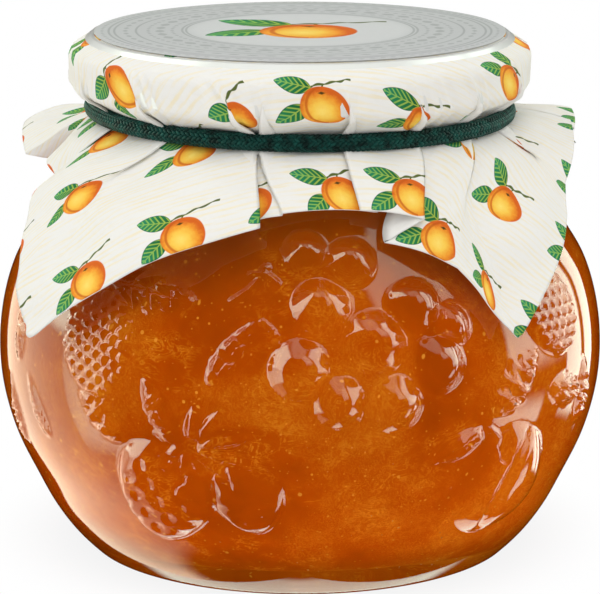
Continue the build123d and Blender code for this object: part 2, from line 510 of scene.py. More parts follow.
@dataclass(frozen=True)
class ApricotMotif:
    """The printed apricot: one fruit, two veined leaves to its left and a twig to its right.

    Sizes are in the motif's own units, which are millimetres on the cover.
    """

    fruit: tuple[float, float] = (3.75, 3.6)
    centre: tuple[float, float] = (0.9, -0.9)

    def leaf(
        self,
        w: Wiring,
        x: Any,
        y: Any,
        base: tuple[float, float],
        turn: float,
        length: float,
        width: float,
    ) -> tuple[Any, Any]:
        """Draws one leaf.

        Args:
            w: The wiring to draw with.
            x: The motif's coordinate to the right.
            y: The motif's coordinate upwards.
            base: Where the leaf's stalk is.
            turn: The way that the leaf points, in degrees from the right.
            length: From stalk to tip.
            width: Half of the widest part.

        Returns:
            The leaf's colour and its mask.
        """
        c, s = math.cos(math.radians(turn)), math.sin(math.radians(turn))
        dx, dy = w.minus(x, base[0]), w.minus(y, base[1])
        along = w.plus(w.times(dx, c / length), w.times(dy, s / length))
        across = w.minus(w.times(dy, c), w.times(dx, s))
        across = w.plus(across, w.times(w.times(along, along), 0.5))
        arch = w.sine(w.times(w.math("POWER", w.larger(along, 0.0), 0.85), math.pi))
        arch = w.math("POWER", w.larger(arch, 0.0), 0.72)
        side = w.size(across)
        inside = w.minus(w.times(arch, width), side)
        inside = w.times(inside, w.math("LESS_THAN", along, 1.0))
        mask = w.ease(inside, 0.0, 0.1)
        rib = w.minus(w.times(along, length), w.times(side, 0.9))
        rib = w.size(w.minus(w.math("FRACT", w.times(rib, 1.05)), 0.5))
        vein = w.larger(w.ease(rib, 0.27, 0.38), w.fade(side, 0.05, 0.15))
        greens = [(0.0, (0.012, 0.11, 0.03)), (0.55, (0.02, 0.2, 0.07)), (1.0, (0.02, 0.23, 0.13))]
        green = w.ramp(along, greens)
        lit = w.ramp(along, [(0.0, (0.42, 0.5, 0.06)), (1.0, (0.2, 0.5, 0.12))])
        colour = w.blend(w.times(vein, 0.85), green, lit)
        colour = w.blend(w.fade(inside, 0.05, 0.3), colour, (0.01, 0.12, 0.06))
        return colour, mask

    def draw(self, w: Wiring, x: Any, y: Any, paper: Any, grain: Any) -> Any:
        """Draws the motif over a paper colour.

        Args:
            w: The wiring to draw with.
            x: The motif's coordinate to the right.
            y: The motif's coordinate upwards.
            paper: The colour under the print.
            grain: A noise value that mottles the fruit.

        Returns:
            The printed colour.
        """
        colour = paper
        wobble = w.times(w.sine(w.times(x, 2.3)), 0.13)
        rise = w.plus(w.times(w.minus(x, 0.6), 0.2), 2.95)
        line = w.size(w.minus(y, w.plus(rise, wobble)))
        span = w.times(w.math("GREATER_THAN", x, -0.4), w.math("LESS_THAN", x, 7.0))
        knots = w.times(w.size(w.sine(w.times(x, 1.6))), 0.14)
        twig = w.fade(w.minus(line, knots), 0.06, 0.2)
        twig = w.times(twig, span)
        slant = w.minus(x, w.plus(w.times(w.minus(y, 1.6), 0.5), 0.9))
        stem = w.fade(w.size(slant), 0.1, 0.22)
        reach = w.times(w.math("GREATER_THAN", y, 1.6), w.math("LESS_THAN", y, 3.2))
        twig = w.larger(twig, w.times(stem, reach))
        colour = w.blend(twig, colour, (0.1, 0.13, 0.03))
        for base, turn, length, width in (
            ((-2.0, -0.4), 214.0, 5.6, 1.7),
            ((-0.4, 2.5), 162.0, 6.2, 1.8),
        ):
            leaf, mask = self.leaf(w, x, y, base, turn, length, width)
            colour = w.blend(mask, colour, leaf)
        dx = w.over(w.minus(x, self.centre[0]), self.fruit[0])
        dy = w.over(w.minus(y, self.centre[1]), self.fruit[1])
        away = w.length(dx, dy)
        lx, ly = w.plus(dx, 0.12), w.plus(dy, 0.18)
        glow = w.length(lx, ly)
        glow = w.plus(glow, w.times(w.minus(grain, 0.5), 0.45))
        flesh = w.ramp(
            glow,
            [
                (0.0, (0.98, 0.72, 0.16)),
                (0.4, (0.95, 0.58, 0.08)),
                (0.72, (0.88, 0.33, 0.03)),
                (0.98, (0.68, 0.13, 0.015)),
            ],
        )
        cheek_x = w.minus(dx, 0.24)
        cheek = w.length(cheek_x, dy)
        cheek = w.size(w.minus(cheek, 0.98))
        cheek = w.times(w.fade(cheek, 0.02, 0.09), w.math("LESS_THAN", dx, 0.0))
        flesh = w.blend(w.times(cheek, 0.75), flesh, (0.55, 0.1, 0.01))
        sepal_x, sepal_y = w.minus(dx, 0.02), w.minus(dy, 0.66)
        sepal = w.plus(w.size(sepal_x), w.times(w.size(sepal_y), 2.2))
        flesh = w.blend(w.fade(sepal, 0.1, 0.22), flesh, (0.09, 0.05, 0.01))
        return w.blend(w.fade(away, 0.97, 1.02), colour, flesh)


@dataclass(frozen=True)
class CoverPaper:
    """Cream paper with pale wavy lines, printed on one side with rows of apricots.

    Attributes:
        side: Side of the sheet, in millimetres.
        column: Distance between the print's columns.
        row: Distance between its rows.
        first_row: Where its first row is, from the sheet's middle.
        base: The paper's colour.
        laid: The colour of the wavy lines.
        printed: Whether this side has the apricots.
    """

    side: float = 140.0
    column: float = 18.5
    row: float = 20.5
    first_row: float = -66.0
    base: Colour = (0.85, 0.838, 0.795)
    laid: Colour = (0.87, 0.765, 0.5)
    printed: bool = True

    def build(self) -> Material:
        """Makes the material, printed or plain.

        Returns:
            The new material.
        """
        material, w = new_material("cover_print" if self.printed else "cover_back")
        uv = w.node("ShaderNodeTexCoord").outputs["UV"]
        u, v, _ = w.split(uv)
        u = w.times(w.minus(u, 0.5), self.side)
        v = w.times(w.minus(v, 0.5), self.side)
        sheet = w.vector(u, v)
        fibre = w.noise(sheet, 1.4, 4.0, 0.65)
        bend = w.noise(w.scaled(sheet, (0.09, 0.25, 1.0)), 1.0, 3.0, 0.6)
        wave = w.sine(w.times(w.math("MULTIPLY_ADD", bend, 1.9, v), 5.4))
        patch = w.noise(w.scaled(sheet, (0.13, 1.3, 1.0)), 1.0, 3.0, 0.6)
        line = w.times(w.ease(wave, -0.5, 0.8), w.ease(patch, 0.36, 0.66))
        colour = w.blend(w.times(line, 0.7 if self.printed else 0.12), self.base, self.laid)
        if self.printed:
            cu = w.math("ROUND", w.over(u, self.column))
            cv = w.math("ROUND", w.over(w.minus(v, self.first_row), self.row))
            cell = w.vector(cu, cv)
            dice = w.node("ShaderNodeTexWhiteNoise", {"Vector": cell}, noise_dimensions="3D")
            r1, r2, r3 = w.split(dice.outputs["Color"])
            x = w.minus(u, w.times(cu, self.column))
            y = w.minus(w.minus(v, self.first_row), w.times(cv, self.row))
            x = w.minus(x, w.times(w.minus(r1, 0.5), 0.8))
            y = w.minus(y, w.times(w.minus(r2, 0.5), 1.2))
            turn = w.times(w.minus(r3, 0.35), 0.3)
            c, s = w.cosine(turn), w.sine(turn)
            tx = w.plus(w.times(x, c), w.times(y, s))
            ty = w.minus(w.times(y, c), w.times(x, s))
            grain = w.noise(sheet, 0.9, 4.0, 0.7)
            colour = ApricotMotif().draw(w, tx, ty, colour, grain)
        bump = w.bump(fibre, 0.12, 0.0002)
        bump = w.bump(w.noise(sheet, 0.16, 3.0, 0.55), 0.5, 0.0012, bump)
        matt = {"Roughness": 0.7, "Specular IOR Level": 0.1}
        w.cover({"Base Color": colour, "Normal": bump, **matt})
        return material


@dataclass(frozen=True)
class LabelPaper:
    """Pale grey label paper with plain rings round one large apricot.

    Attributes:
        base: The paper's colour.
        ink: The colour of the rings and wreaths.
        rings: Radii of the plain rings, in millimetres.
        wreaths: Radius, number of leaves and their length, in millimetres, of each wreath.
        motif_scale: How much larger the apricot is than on the cover.
    """

    base: Colour = (0.56, 0.565, 0.56)
    ink: Colour = (0.24, 0.26, 0.25)
    rings: tuple[float, ...] = (20.5, 21.2, 29.5, 33.4, 34.4)
    wreaths: tuple[tuple[float, int, float], ...] = (
        (31.4, 60, 0.9),
        (27.3, 84, 0.8),
        (25.2, 40, 1.3),
        (23.0, 70, 0.8),
        (35.6, 116, 0.75),
    )
    motif_scale: float = 2.35

    def build(self) -> Material:
        """Makes the material.

        Returns:
            The new material.
        """
        material, w = new_material("label_print")
        place = w.place()
        x, y, _ = w.split(place)
        x, y = w.over(x, MM), w.over(y, MM)
        away = w.length(x, y)
        fibre = w.noise(place, 900.0, 3.0, 0.6)
        middle = w.fade(away, 18.0, 22.0)
        colour = w.blend(middle, self.base, (0.66, 0.665, 0.655))
        colour = w.blend(w.times(fibre, 0.12), colour, self.ink)
        for ring in self.rings:
            gap = w.size(w.minus(away, ring))
            colour = w.blend(w.times(w.fade(gap, 0.1, 0.3), 0.5), colour, self.ink)
        angle = w.math("ARCTAN2", y, x)
        for ring, count, length in self.wreaths:
            beads = w.size(w.sine(w.times(angle, count / 2)))
            gap = w.size(w.minus(away, ring))
            leafy = w.minus(w.times(beads, length), gap)
            colour = w.blend(w.times(w.ease(leafy, 0.3, 0.6), 0.45), colour, self.ink)
        grain = w.noise(place, 380.0, 4.0, 0.7)
        mx, my = w.over(w.plus(x, 0.6), self.motif_scale), w.over(y, self.motif_scale)
        colour = ApricotMotif().draw(w, mx, my, colour, grain)
        bump = w.bump(fibre, 0.15, 0.0002)
        silk = {"Roughness": 0.55, "Specular IOR Level": 0.15}
        w.cover({"Base Color": colour, "Normal": bump, **silk})
        return material


@dataclass(frozen=True)
class BraidYarn:
    """Dark green yarn with a soft shine, its tone mottled at random."""

    dark: Colour = (0.003, 0.014, 0.012)
    light: Colour = (0.006, 0.075, 0.06)

    def build(self) -> Material:
        """Makes the material.

        Returns:
            The new material.
        """
        material, w = new_material("braid_yarn")
        place = w.place()
        tone = w.ramp(w.noise(place, 700.0, 3.0, 0.6), [(0.35, self.dark), (0.7, self.light)])
        inputs = {
            "Base Color": tone,
            "Roughness": 0.55,
            "Specular IOR Level": 0.15,
            "Sheen Weight": 0.04,
            "Sheen Roughness": 0.4,
            "Sheen Tint": (0.3, 0.7, 0.6),
            "Normal": w.bump(w.noise(place, 4000.0), 0.3, 0.0001),
        }
        w.cover(inputs)
        return material


@dataclass(frozen=True)
class WhiteLacquer:
    """Lacquered tinplate of the lid, under the paper."""

    base: Colour = (0.8, 0.8, 0.77)

    def build(self) -> Material:
        """Makes the material.

        Returns:
            The new material.
        """
        material, w = new_material("white_lacquer")
        place = w.place()
        tone = w.ramp(w.noise(place, 60.0), [(0.3, (0.74, 0.74, 0.7)), (0.7, self.base)])
        bump = w.bump(w.noise(place, 800.0), 0.05, 0.0001)
        inputs = {"Base Color": tone, "Roughness": 0.3, "Coat Weight": 0.4, "Normal": bump}
        w.cover(inputs)
        return material


# ---- Glass ----


@dataclass(frozen=True)
class Outline:
    """A smooth outline of revolution through (radius, height) points, in millimetres."""

    points: tuple[tuple[float, float], ...]

    def sample(self, step: float) -> tuple[Array, Array]:
        """Samples the outline evenly along its length.

        Args:
            step: The wanted distance between samples.

        Returns:
            Radii and heights.
        """
        points = np.array(self.points)
        chord = np.concatenate([[0.0], np.cumsum(np.linalg.norm(np.diff(points, axis=0), axis=1))])
        slopes = np.gradient(points, chord, axis=0)
        dense = np.linspace(0.0, chord[-1], 4000)
        k = np.clip(np.searchsorted(chord, dense, side="right") - 1, 0, len(points) - 2)
        span = (chord[k + 1] - chord[k])[:, None]
        t = (dense - chord[k])[:, None] / span
        path = (
            (2 * t**3 - 3 * t**2 + 1) * points[k]
            + (t**3 - 2 * t**2 + t) * span * slopes[k]
            + (3 * t**2 - 2 * t**3) * points[k + 1]
            + (t**3 - t**2) * span * slopes[k + 1]
        )
        length = np.concatenate([[0.0], np.cumsum(np.linalg.norm(np.diff(path, axis=0), axis=1))])
        count = max(2, int(round(length[-1] / step)) + 1)
        even = np.linspace(0.0, length[-1], count)
        return np.interp(even, length, path[:, 0]), np.interp(even, length, path[:, 1])


BODY_OUTLINE = Outline(
    (
        (39.32, 0.0),
        (40.87, 1.5),
        (43.1, 4.0),
        (45.87, 8.0),
        (48.97, 14.0),
        (52.56, 22.0),
        (54.82, 32.0),
        (54.64, 42.0),
        (52.0, 52.0),
        (47.25, 60.0),
        (42.89, 68.0),
        (40.43, 74.0),
        (37.2, 76.6),
        (35.8, 77.9),
    )
)


@dataclass(frozen=True)
class Figure:
    """One embossed figure at its place on the jar.

    Attributes:
        turn: The place's turn from the middle of its half of the mould, in degrees.
        height: The place's height.
        tilt: How far the figure is turned anticlockwise, in degrees.
    """

    turn: float
    height: float
    tilt: float

    def shape(self, x: Array, y: Array) -> tuple[Array, Array]:
        """Works out the figure's rise.

        Args:
            x: Distances to the right of the place, along the glass.
            y: Distances over it, along the glass.

        Returns:
            The rise at each point, and a mask that is 1 inside the figure.
        """
        raise NotImplementedError


@dataclass(frozen=True)
class Grape(Figure):
    """A grape: sloping at its rim and flat on top.

    Attributes:
        radius: Its radius.
        rise: Its rise over the glass.
    """

    radius: float
    rise: float

    def shape(self, x: Array, y: Array) -> tuple[Array, Array]:
        """Works out the rise, with the arguments and results of Figure.shape."""
        inside = self.radius - np.hypot(x, y)
        steps = [-0.25, 0.0, 1.0, 2.0, 2.9, 3.3, 3.7, 4.3, 5.6]
        climb = [0.0, 0.02, 0.3, 0.565, 0.79, 0.875, 0.936, 0.98, 1.0]
        return np.interp(inside, steps, climb) * self.rise, smoothstep(inside, -0.25, 0.15)


@dataclass(frozen=True)
class Leaf(Figure):
    """A leaf with its midrib and side veins. Its place is its stalk's end.

    Attributes:
        length: From stalk to tip.
        width: Half of the widest part.
        rise: Its rise over the glass.
        ribs: How many veins each side has.
        lobes: How deep the edge is cut between the veins, as a share of the width.
        groove: How deep the veins are, as a share of the rise.
    """

    length: float
    width: float
    rise: float
    ribs: int
    lobes: float
    groove: float

    def shape(self, x: Array, y: Array) -> tuple[Array, Array]:
        """Works out the rise, with the arguments and results of Figure.shape."""
        inner = np.clip(x / self.length, 0.0, 1.0)
        side = np.abs(y)
        phase = (inner * self.ribs - side / self.width * 0.8) % 1.0
        edge = self.width * np.sin(np.pi * inner**0.75) ** 0.8
        edge = edge * (1 - self.lobes * 2 * np.abs(phase - 0.5))
        inside = np.minimum(edge - side, np.minimum(x, self.length - x) + 0.3)
        vein = np.exp(-(((phase - 0.5) / 0.2) ** 2)) * smoothstep(side, 0.2, 0.7)
        rib = np.exp(-((side / 0.4) ** 2)) * min(1.0, self.width / 3.0)
        rise = self.rise * (smoothstep(inside, -0.2, 1.6) * 0.8 + 0.2 * smoothstep(inside, 0.3, 2.4))
        rise = rise * (1 - self.groove * vein) * (1 - 0.75 * rib)
        return rise, smoothstep(inside, -0.2, 0.15)


@dataclass(frozen=True)
class RoundFruit(Figure):
    """A fruit with an oval outline.

    Attributes:
        wide: Half of its width.
        tall: Half of its height.
    """

    wide: float
    tall: float


@dataclass(frozen=True)
class Raspberry(RoundFruit):
    """An oval fruit that is covered with round drupelets."""

    pitch: float = 2.15

    def shape(self, x: Array, y: Array) -> tuple[Array, Array]:
        """Works out the rise, with the arguments and results of Figure.shape."""
        away = np.hypot(x / self.wide, y / self.tall)
        inside = (1 - away) * min(self.wide, self.tall)
        k = 4 * math.pi / (math.sqrt(3) * self.pitch)
        slant = y * math.sqrt(3) / 2
        cells = np.cos(k * x) + np.cos(k * (x / 2 + slant)) + np.cos(k * (x / 2 - slant))
        beads = np.sqrt(np.clip((cells + 1.5) / 4.5, 0.0, 1.0))
        rise = smoothstep(inside, -0.2, 0.9) * 0.6 + np.sqrt(np.clip(1 - away**2, 0, 1)) * 0.5
        rise = rise + 0.85 * beads * smoothstep(inside, -0.1, 0.6)
        return rise, smoothstep(inside, -0.2, 0.15)


@dataclass(frozen=True)
class Strawberry(RoundFruit):
    """A heart-shaped berry with round seed pits."""

    pitch: float = 3.9

    def shape(self, x: Array, y: Array) -> tuple[Array, Array]:
        """Works out the rise, with the arguments and results of Figure.shape."""
        narrow = self.wide * (1 - 0.28 * np.clip(-y / self.tall, -1, 1))
        away = np.hypot(x / narrow, y / self.tall)
        inside = (1 - away) * min(self.wide, self.tall)
        flank = 1 - (1 - np.clip((inside + 0.15) / 2.7, 0.0, 1.0)) ** 1.4
        rise = 2.0 * flank + np.sqrt(np.clip(1 - away**2, 0, 1)) * 0.7
        row_pitch = self.pitch * 0.75
        row = np.round(y / row_pitch)
        px = (x / self.pitch + 0.5 * (row % 2) + 0.5) % 1.0 - 0.5
        py = y / row_pitch - row
        seed = np.hypot(px * self.pitch * 1.25, py * self.pitch * 0.75)
        pit = np.exp(-((seed / 0.85) ** 4))
        bead = np.exp(-((seed / 0.5) ** 4))
        rise = rise - smoothstep(inside, 0.4, 1.6) * (0.6 * pit - 0.5 * bead)
        return rise, smoothstep(inside, -0.25, 0.15)


@dataclass(frozen=True)
class Peach(Figure):
    """A round fruit with a cleft from its stalk to its tip.

    Attributes:
        radius: Half of its width.
    """

    radius: float

    def shape(self, x: Array, y: Array) -> tuple[Array, Array]:
        """Works out the rise, with the arguments and results of Figure.shape."""
        away = np.hypot(x / self.radius, y / (self.radius * 1.12))
        inside = (1 - away) * self.radius
        rise = 3.9 * (1 - (1 - np.clip((inside + 0.15) / 9.0, 0.0, 1.0)) ** 1.9)
        cleft = x + self.radius * 0.42 * (1 - (y / self.radius) ** 2) - self.radius * 0.12
        rise = rise - 1.1 * np.exp(-((cleft / 0.75) ** 2)) * smoothstep(inside, 0.2, 1.6)
        return rise, smoothstep(inside, -0.25, 0.15)


@dataclass(frozen=True)
class Stalk(Figure):
    """A bent stalk with a rounded top.

    Attributes:
        length: From end to end.
        bend: How far its middle is off the straight line.
        width: Half of its width.
    """

    length: float
    bend: float
    width: float

    def shape(self, x: Array, y: Array) -> tuple[Array, Array]:
        """Works out the rise, with the arguments and results of Figure.shape."""
        t = np.clip(x / self.length, 0.0, 1.0)
        gap = np.hypot(x - t * self.length, y - self.bend * np.sin(math.pi * t))
        rise = 0.9 * np.sqrt(np.clip(1 - (gap / self.width) ** 2, 0, 1))
        return rise, smoothstep(self.width - gap, -0.1, 0.2)


class Relief:
    """Height of the embossed fruit over the body, in millimetres.

    The field is kept over the turn and the distance along the outline. Each figure is drawn in
    flat coordinates round its own place, with x towards the right and y upwards, and covers
    what was drawn before it.
    """

    def __init__(self, turns: Array, radii: Array, heights: Array) -> None:
        """Starts with a smooth body.

        Args:
            turns: Turns of the columns, in degrees.
            radii: Radii of the rows.
            heights: Heights of the rows.
        """
        self.turns = turns
        self.heights = heights
        self.along = np.concatenate([[0.0], np.cumsum(np.hypot(np.diff(radii), np.diff(heights)))])
        self.radii = radii
        self.rise = np.zeros((len(radii), len(turns)))

    def draw(self, figure: Figure, half_turn: float) -> None:
        """Lays a figure over what is there.

        Args:
            figure: The figure.
            half_turn: Where its half of the mould starts, in degrees.
        """
        away = (self.turns - (half_turn + figure.turn) + 180.0) % 360.0 - 180.0
        middle = np.interp(figure.height, self.heights, self.along)
        x = np.radians(away)[None, :] * self.radii[:, None]
        y = np.broadcast_to((self.along - middle)[:, None], x.shape)
        c, s = math.cos(math.radians(figure.tilt)), math.sin(math.radians(figure.tilt))
        shape, mask = figure.shape(x * c + y * s, y * c - x * s)
        self.rise = self.rise * (1 - mask) + np.maximum(shape, self.rise * 0.25) * mask


RASPBERRY_SPRAY = (
    Leaf(-41.5, 56.5, -8.0, 20.0, 5.4, 2.8, 5, 0.5, 0.9),
    Leaf(-43.0, 55.0, 115.0, 11.0, 3.2, 1.6, 4, 0.4, 0.8),
    Raspberry(-39.5, 46.2, 12.0, 8.0, 9.6),
)
VINE = (
    Leaf(-16.5, 41.0, 56.0, 14.5, 3.1, 2.5, 4, 0.35, 0.85),
    Stalk(-7.0, 52.0, -60.0, 5.5, 0.8, 0.5),
    Stalk(-12.6, 55.0, 52.0, 7.6, -0.8, 0.75),
    Stalk(-9.6, 59.0, -20.0, 4.5, 0.7, 0.6),
)
GRAPES = tuple(
    Grape(turn, height, 0.0, radius, 3.45)
    for turn, height, radius in (
        (1.0, 62.4, 4.0),
        (10.3, 60.7, 4.6),
        (28.4, 50.1, 4.2),
        (21.8, 53.7, 4.9),
        (3.8, 54.1, 5.2),
        (16.6, 38.0, 5.2),
        (25.2, 44.0, 5.2),
        (13.3, 48.2, 5.8),
        (-0.2, 44.2, 5.5),
        (6.8, 38.7, 4.8),
    )
)
STRAWBERRIES = (
    Leaf(-33.0, 29.6, 142.0, 13.0, 3.4, 2.4, 4, 0.4, 0.85),
    Leaf(-23.5, 32.2, 118.0, 11.0, 2.9, 2.4, 4, 0.4, 0.85),
    Strawberry(-26.3, 20.6, -14.0, 9.0, 10.6),
    Strawberry(-9.5, 21.0, 10.0, 6.4, 7.6),
)
CALYX = tuple(
    Leaf(-19.6, 30.6, tilt, length, 1.5, 2.3, 2, 0.0, 0.25)
    for tilt, length in (
        (165.0, 7.5),
        (205.0, 6.8),
        (248.0, 8.0),
        (288.0, 7.6),
        (318.0, 9.5),
        (345.0, 12.0),
        (12.0, 12.5),
        (48.0, 10.5),
        (82.0, 8.0),
    )
) + (Grape(-19.6, 30.6, 0.0, 1.3, 1.2),)
PEACH_SPRAY = (
    Leaf(36.5, 33.5, 42.0, 15.5, 4.5, 2.5, 5, 0.5, 0.9),
    Leaf(52.0, 35.5, -12.0, 12.0, 3.6, 2.2, 4, 0.4, 0.85),
    Raspberry(54.0, 50.0, 28.0, 7.2, 9.4),
    Leaf(46.0, 60.5, 150.0, 9.0, 2.6, 1.0, 4, 0.3, 0.7),
    Peach(41.8, 20.6, -16.0, 10.0),
    Leaf(34.6, 31.6, 205.0, 12.2, 2.5, 2.2, 3, 0.05, 0.35),
    Stalk(36.0, 31.4, -62.0, 5.5, 0.9, 0.8),
)
SIDE_LEAVES = (
    Leaf(64.0, 26.5, 80.0, 13.0, 3.0, 1.3, 6, 0.25, 0.8),
    Leaf(113.0, 22.0, 100.0, 14.0, 3.2, 1.0, 6, 0.45, 0.8),
    Leaf(116.0, 38.0, 96.0, 13.0, 2.8, 1.0, 5, 0.4, 0.8),
    Leaf(126.0, 26.0, 118.0, 13.0, 2.6, 1.0, 5, 0.4, 0.8),
)


@dataclass
class GlassJar:
    """The embossed jar with its foot ring, wall, neck and finish.

    Attributes:
        columns: How many columns of faces the outside has.
        rows: How many rows of faces the embossed body has.
        thinning: How many outside columns meet one column of the foot, neck and inside.
        punt: Height of the middle of the underside.
        floor_height: Height of the glass floor inside.
        foot: Outline of the underside, from the middle to the foot ring.
        neck: Outline of the neck and finish, over the rim and down into the mouth.
        room: Outline of the room inside, from the edge of the floor to the neck.
        figures: The embossed figures of one half, in the order that they are drawn.
    """

    columns: int = 520
    rows: int = 172
    thinning: int = 5
    punt: float = 2.2
    floor_height: float = 8.4
    foot: tuple[tuple[float, float], ...] = (
        (12.0, 2.0),
        (22.0, 1.6),
        (30.0, 0.95),
        (33.6, 0.45),
        (35.1, 0.1),
        (36.2, 0.0),
        (38.4, 0.0),
    )
    neck: tuple[tuple[float, float], ...] = (
        (35.75, 78.4),
        (35.75, 80.2),
        (35.8, 81.3),
        (36.1, 81.9),
        (37.0, 82.6),
        (37.4, 83.3),
        (37.4, 85.2),
        (37.9, 85.7),
        (37.9, 87.0),
        (37.4, 87.5),
        (37.4, 91.6),
        (37.15, 92.25),
        (36.6, 92.6),
        (34.4, 92.6),
        (33.8, 92.35),
        (33.4, 91.7),
        (33.4, 86.0),
    )
    room: tuple[tuple[float, float], ...] = (
        (35.6, 6.9),
        (40.9, 9.2),
        (45.4, 15.0),
        (50.0, 23.4),
        (52.3, 33.0),
        (52.2, 42.0),
        (49.6, 51.0),
        (45.2, 58.6),
        (40.9, 66.6),
        (38.5, 72.6),
        (36.2, 75.9),
        (33.9, 78.2),
        (33.4, 80.6),
    )
    figures: tuple[Figure, ...] = (
        RASPBERRY_SPRAY + VINE + GRAPES + STRAWBERRIES + CALYX + PEACH_SPRAY + SIDE_LEAVES
    )

    def inner_outline(self) -> Outline:
        """The outline of the room inside, from the axis to the neck."""
        low = self.floor_height
        return Outline(((0.0, low), (14.0, low - 0.3), (28.0, low - 1.3)) + self.room)

    def column_turns(self) -> Array:
        """Spreads the columns, closer together where the fruit is.

        Returns:
            Their turns, in degrees.
        """
        grid = np.linspace(0.0, 360.0, 3601)
        from_side = (grid % 180.0) - 90.0
        reach = np.cumsum(1 - 0.62 * np.exp(-((from_side / 17.0) ** 2)))
        reach -= reach[0]
        return np.interp(np.arange(self.columns) * reach[-1] / self.columns, reach, grid)

    def outline_rows(self) -> tuple[Array, Array]:
        """Spreads the rows, closer together where the fruit is.

        Returns:
            Their radii and heights.
        """
        radii, heights = BODY_OUTLINE.sample(0.05)
        fruit = smoothstep(heights, 8.0, 12.0) * smoothstep(-heights, -70.0, -65.0)
        reach = np.cumsum(0.45 + 0.55 * fruit)
        even = np.linspace(reach[0], reach[-1], self.rows)
        return np.interp(even, reach, radii), np.interp(even, reach, heights)

    def embossed_body(self, turns: Array) -> Array:
        """Works out the outside of the body, with its figures.

        Args:
            turns: Turns of the columns, in degrees.

        Returns:
            The points, row after row from the foot to the neck.
        """
        radii, heights = self.outline_rows()
        relief = Relief(turns, radii, heights)
        for half_turn in (0.0, 180.0):
            for figure in self.figures:
                relief.draw(figure, half_turn)
        clear_of_foot = smoothstep(heights, 3.0, 6.0)
        clear_of_neck = smoothstep(-heights, -75.5, -71.0)
        rise = relief.rise * clear_of_foot[:, None] * clear_of_neck[:, None]
        slope = np.gradient(np.stack([radii, heights], axis=-1), axis=0)
        slope /= np.linalg.norm(slope, axis=1, keepdims=True)
        along_r, along_z = slope.T[:, :, None]
        radius = radii[:, None] + rise * along_z
        return on_axis(radius, turns[None, :], heights[:, None] - rise * along_r)

    def build(self) -> Piece:
        """Makes the jar's mesh, as one closed wall.

        Returns:
            The new piece.
        """
        shell = Shell()
        fine = self.column_turns()
        rough = fine[:: self.thinning]
        under = shell.rings(self.foot, rough)
        shell.bands(under)
        body = shell.add(self.embossed_body(fine))
        shell.bands(body)
        shell.thin_out(body[0], under[-1], upward=False)
        top = shell.rings(self.neck, rough)
        shell.bands(top)
        shell.thin_out(body[-1], top[0], upward=True)
        room_r, room_z = self.inner_outline().sample(1.6)
        room_r, room_z = room_r[::-1][:-2], room_z[::-1][:-2]
        room = shell.add(on_axis(room_r[:, None], rough[None, :], room_z[:, None]))
        shell.bands(np.concatenate([top[-1:], room]))
        shell.pole(room[-1], self.floor_height, upward=True)
        shell.pole(under[0], self.punt, upward=False)
        return shell.finish("embossed_glass")

    def dress(self, piece: Piece) -> None:
        """Gives the jar its glass.

        Args:
            piece: The jar's piece.
        """
        piece.data.materials.append(ClearGlass().build())
        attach(piece, BODY)
        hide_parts("glass_jar")


# ---- Jam ----


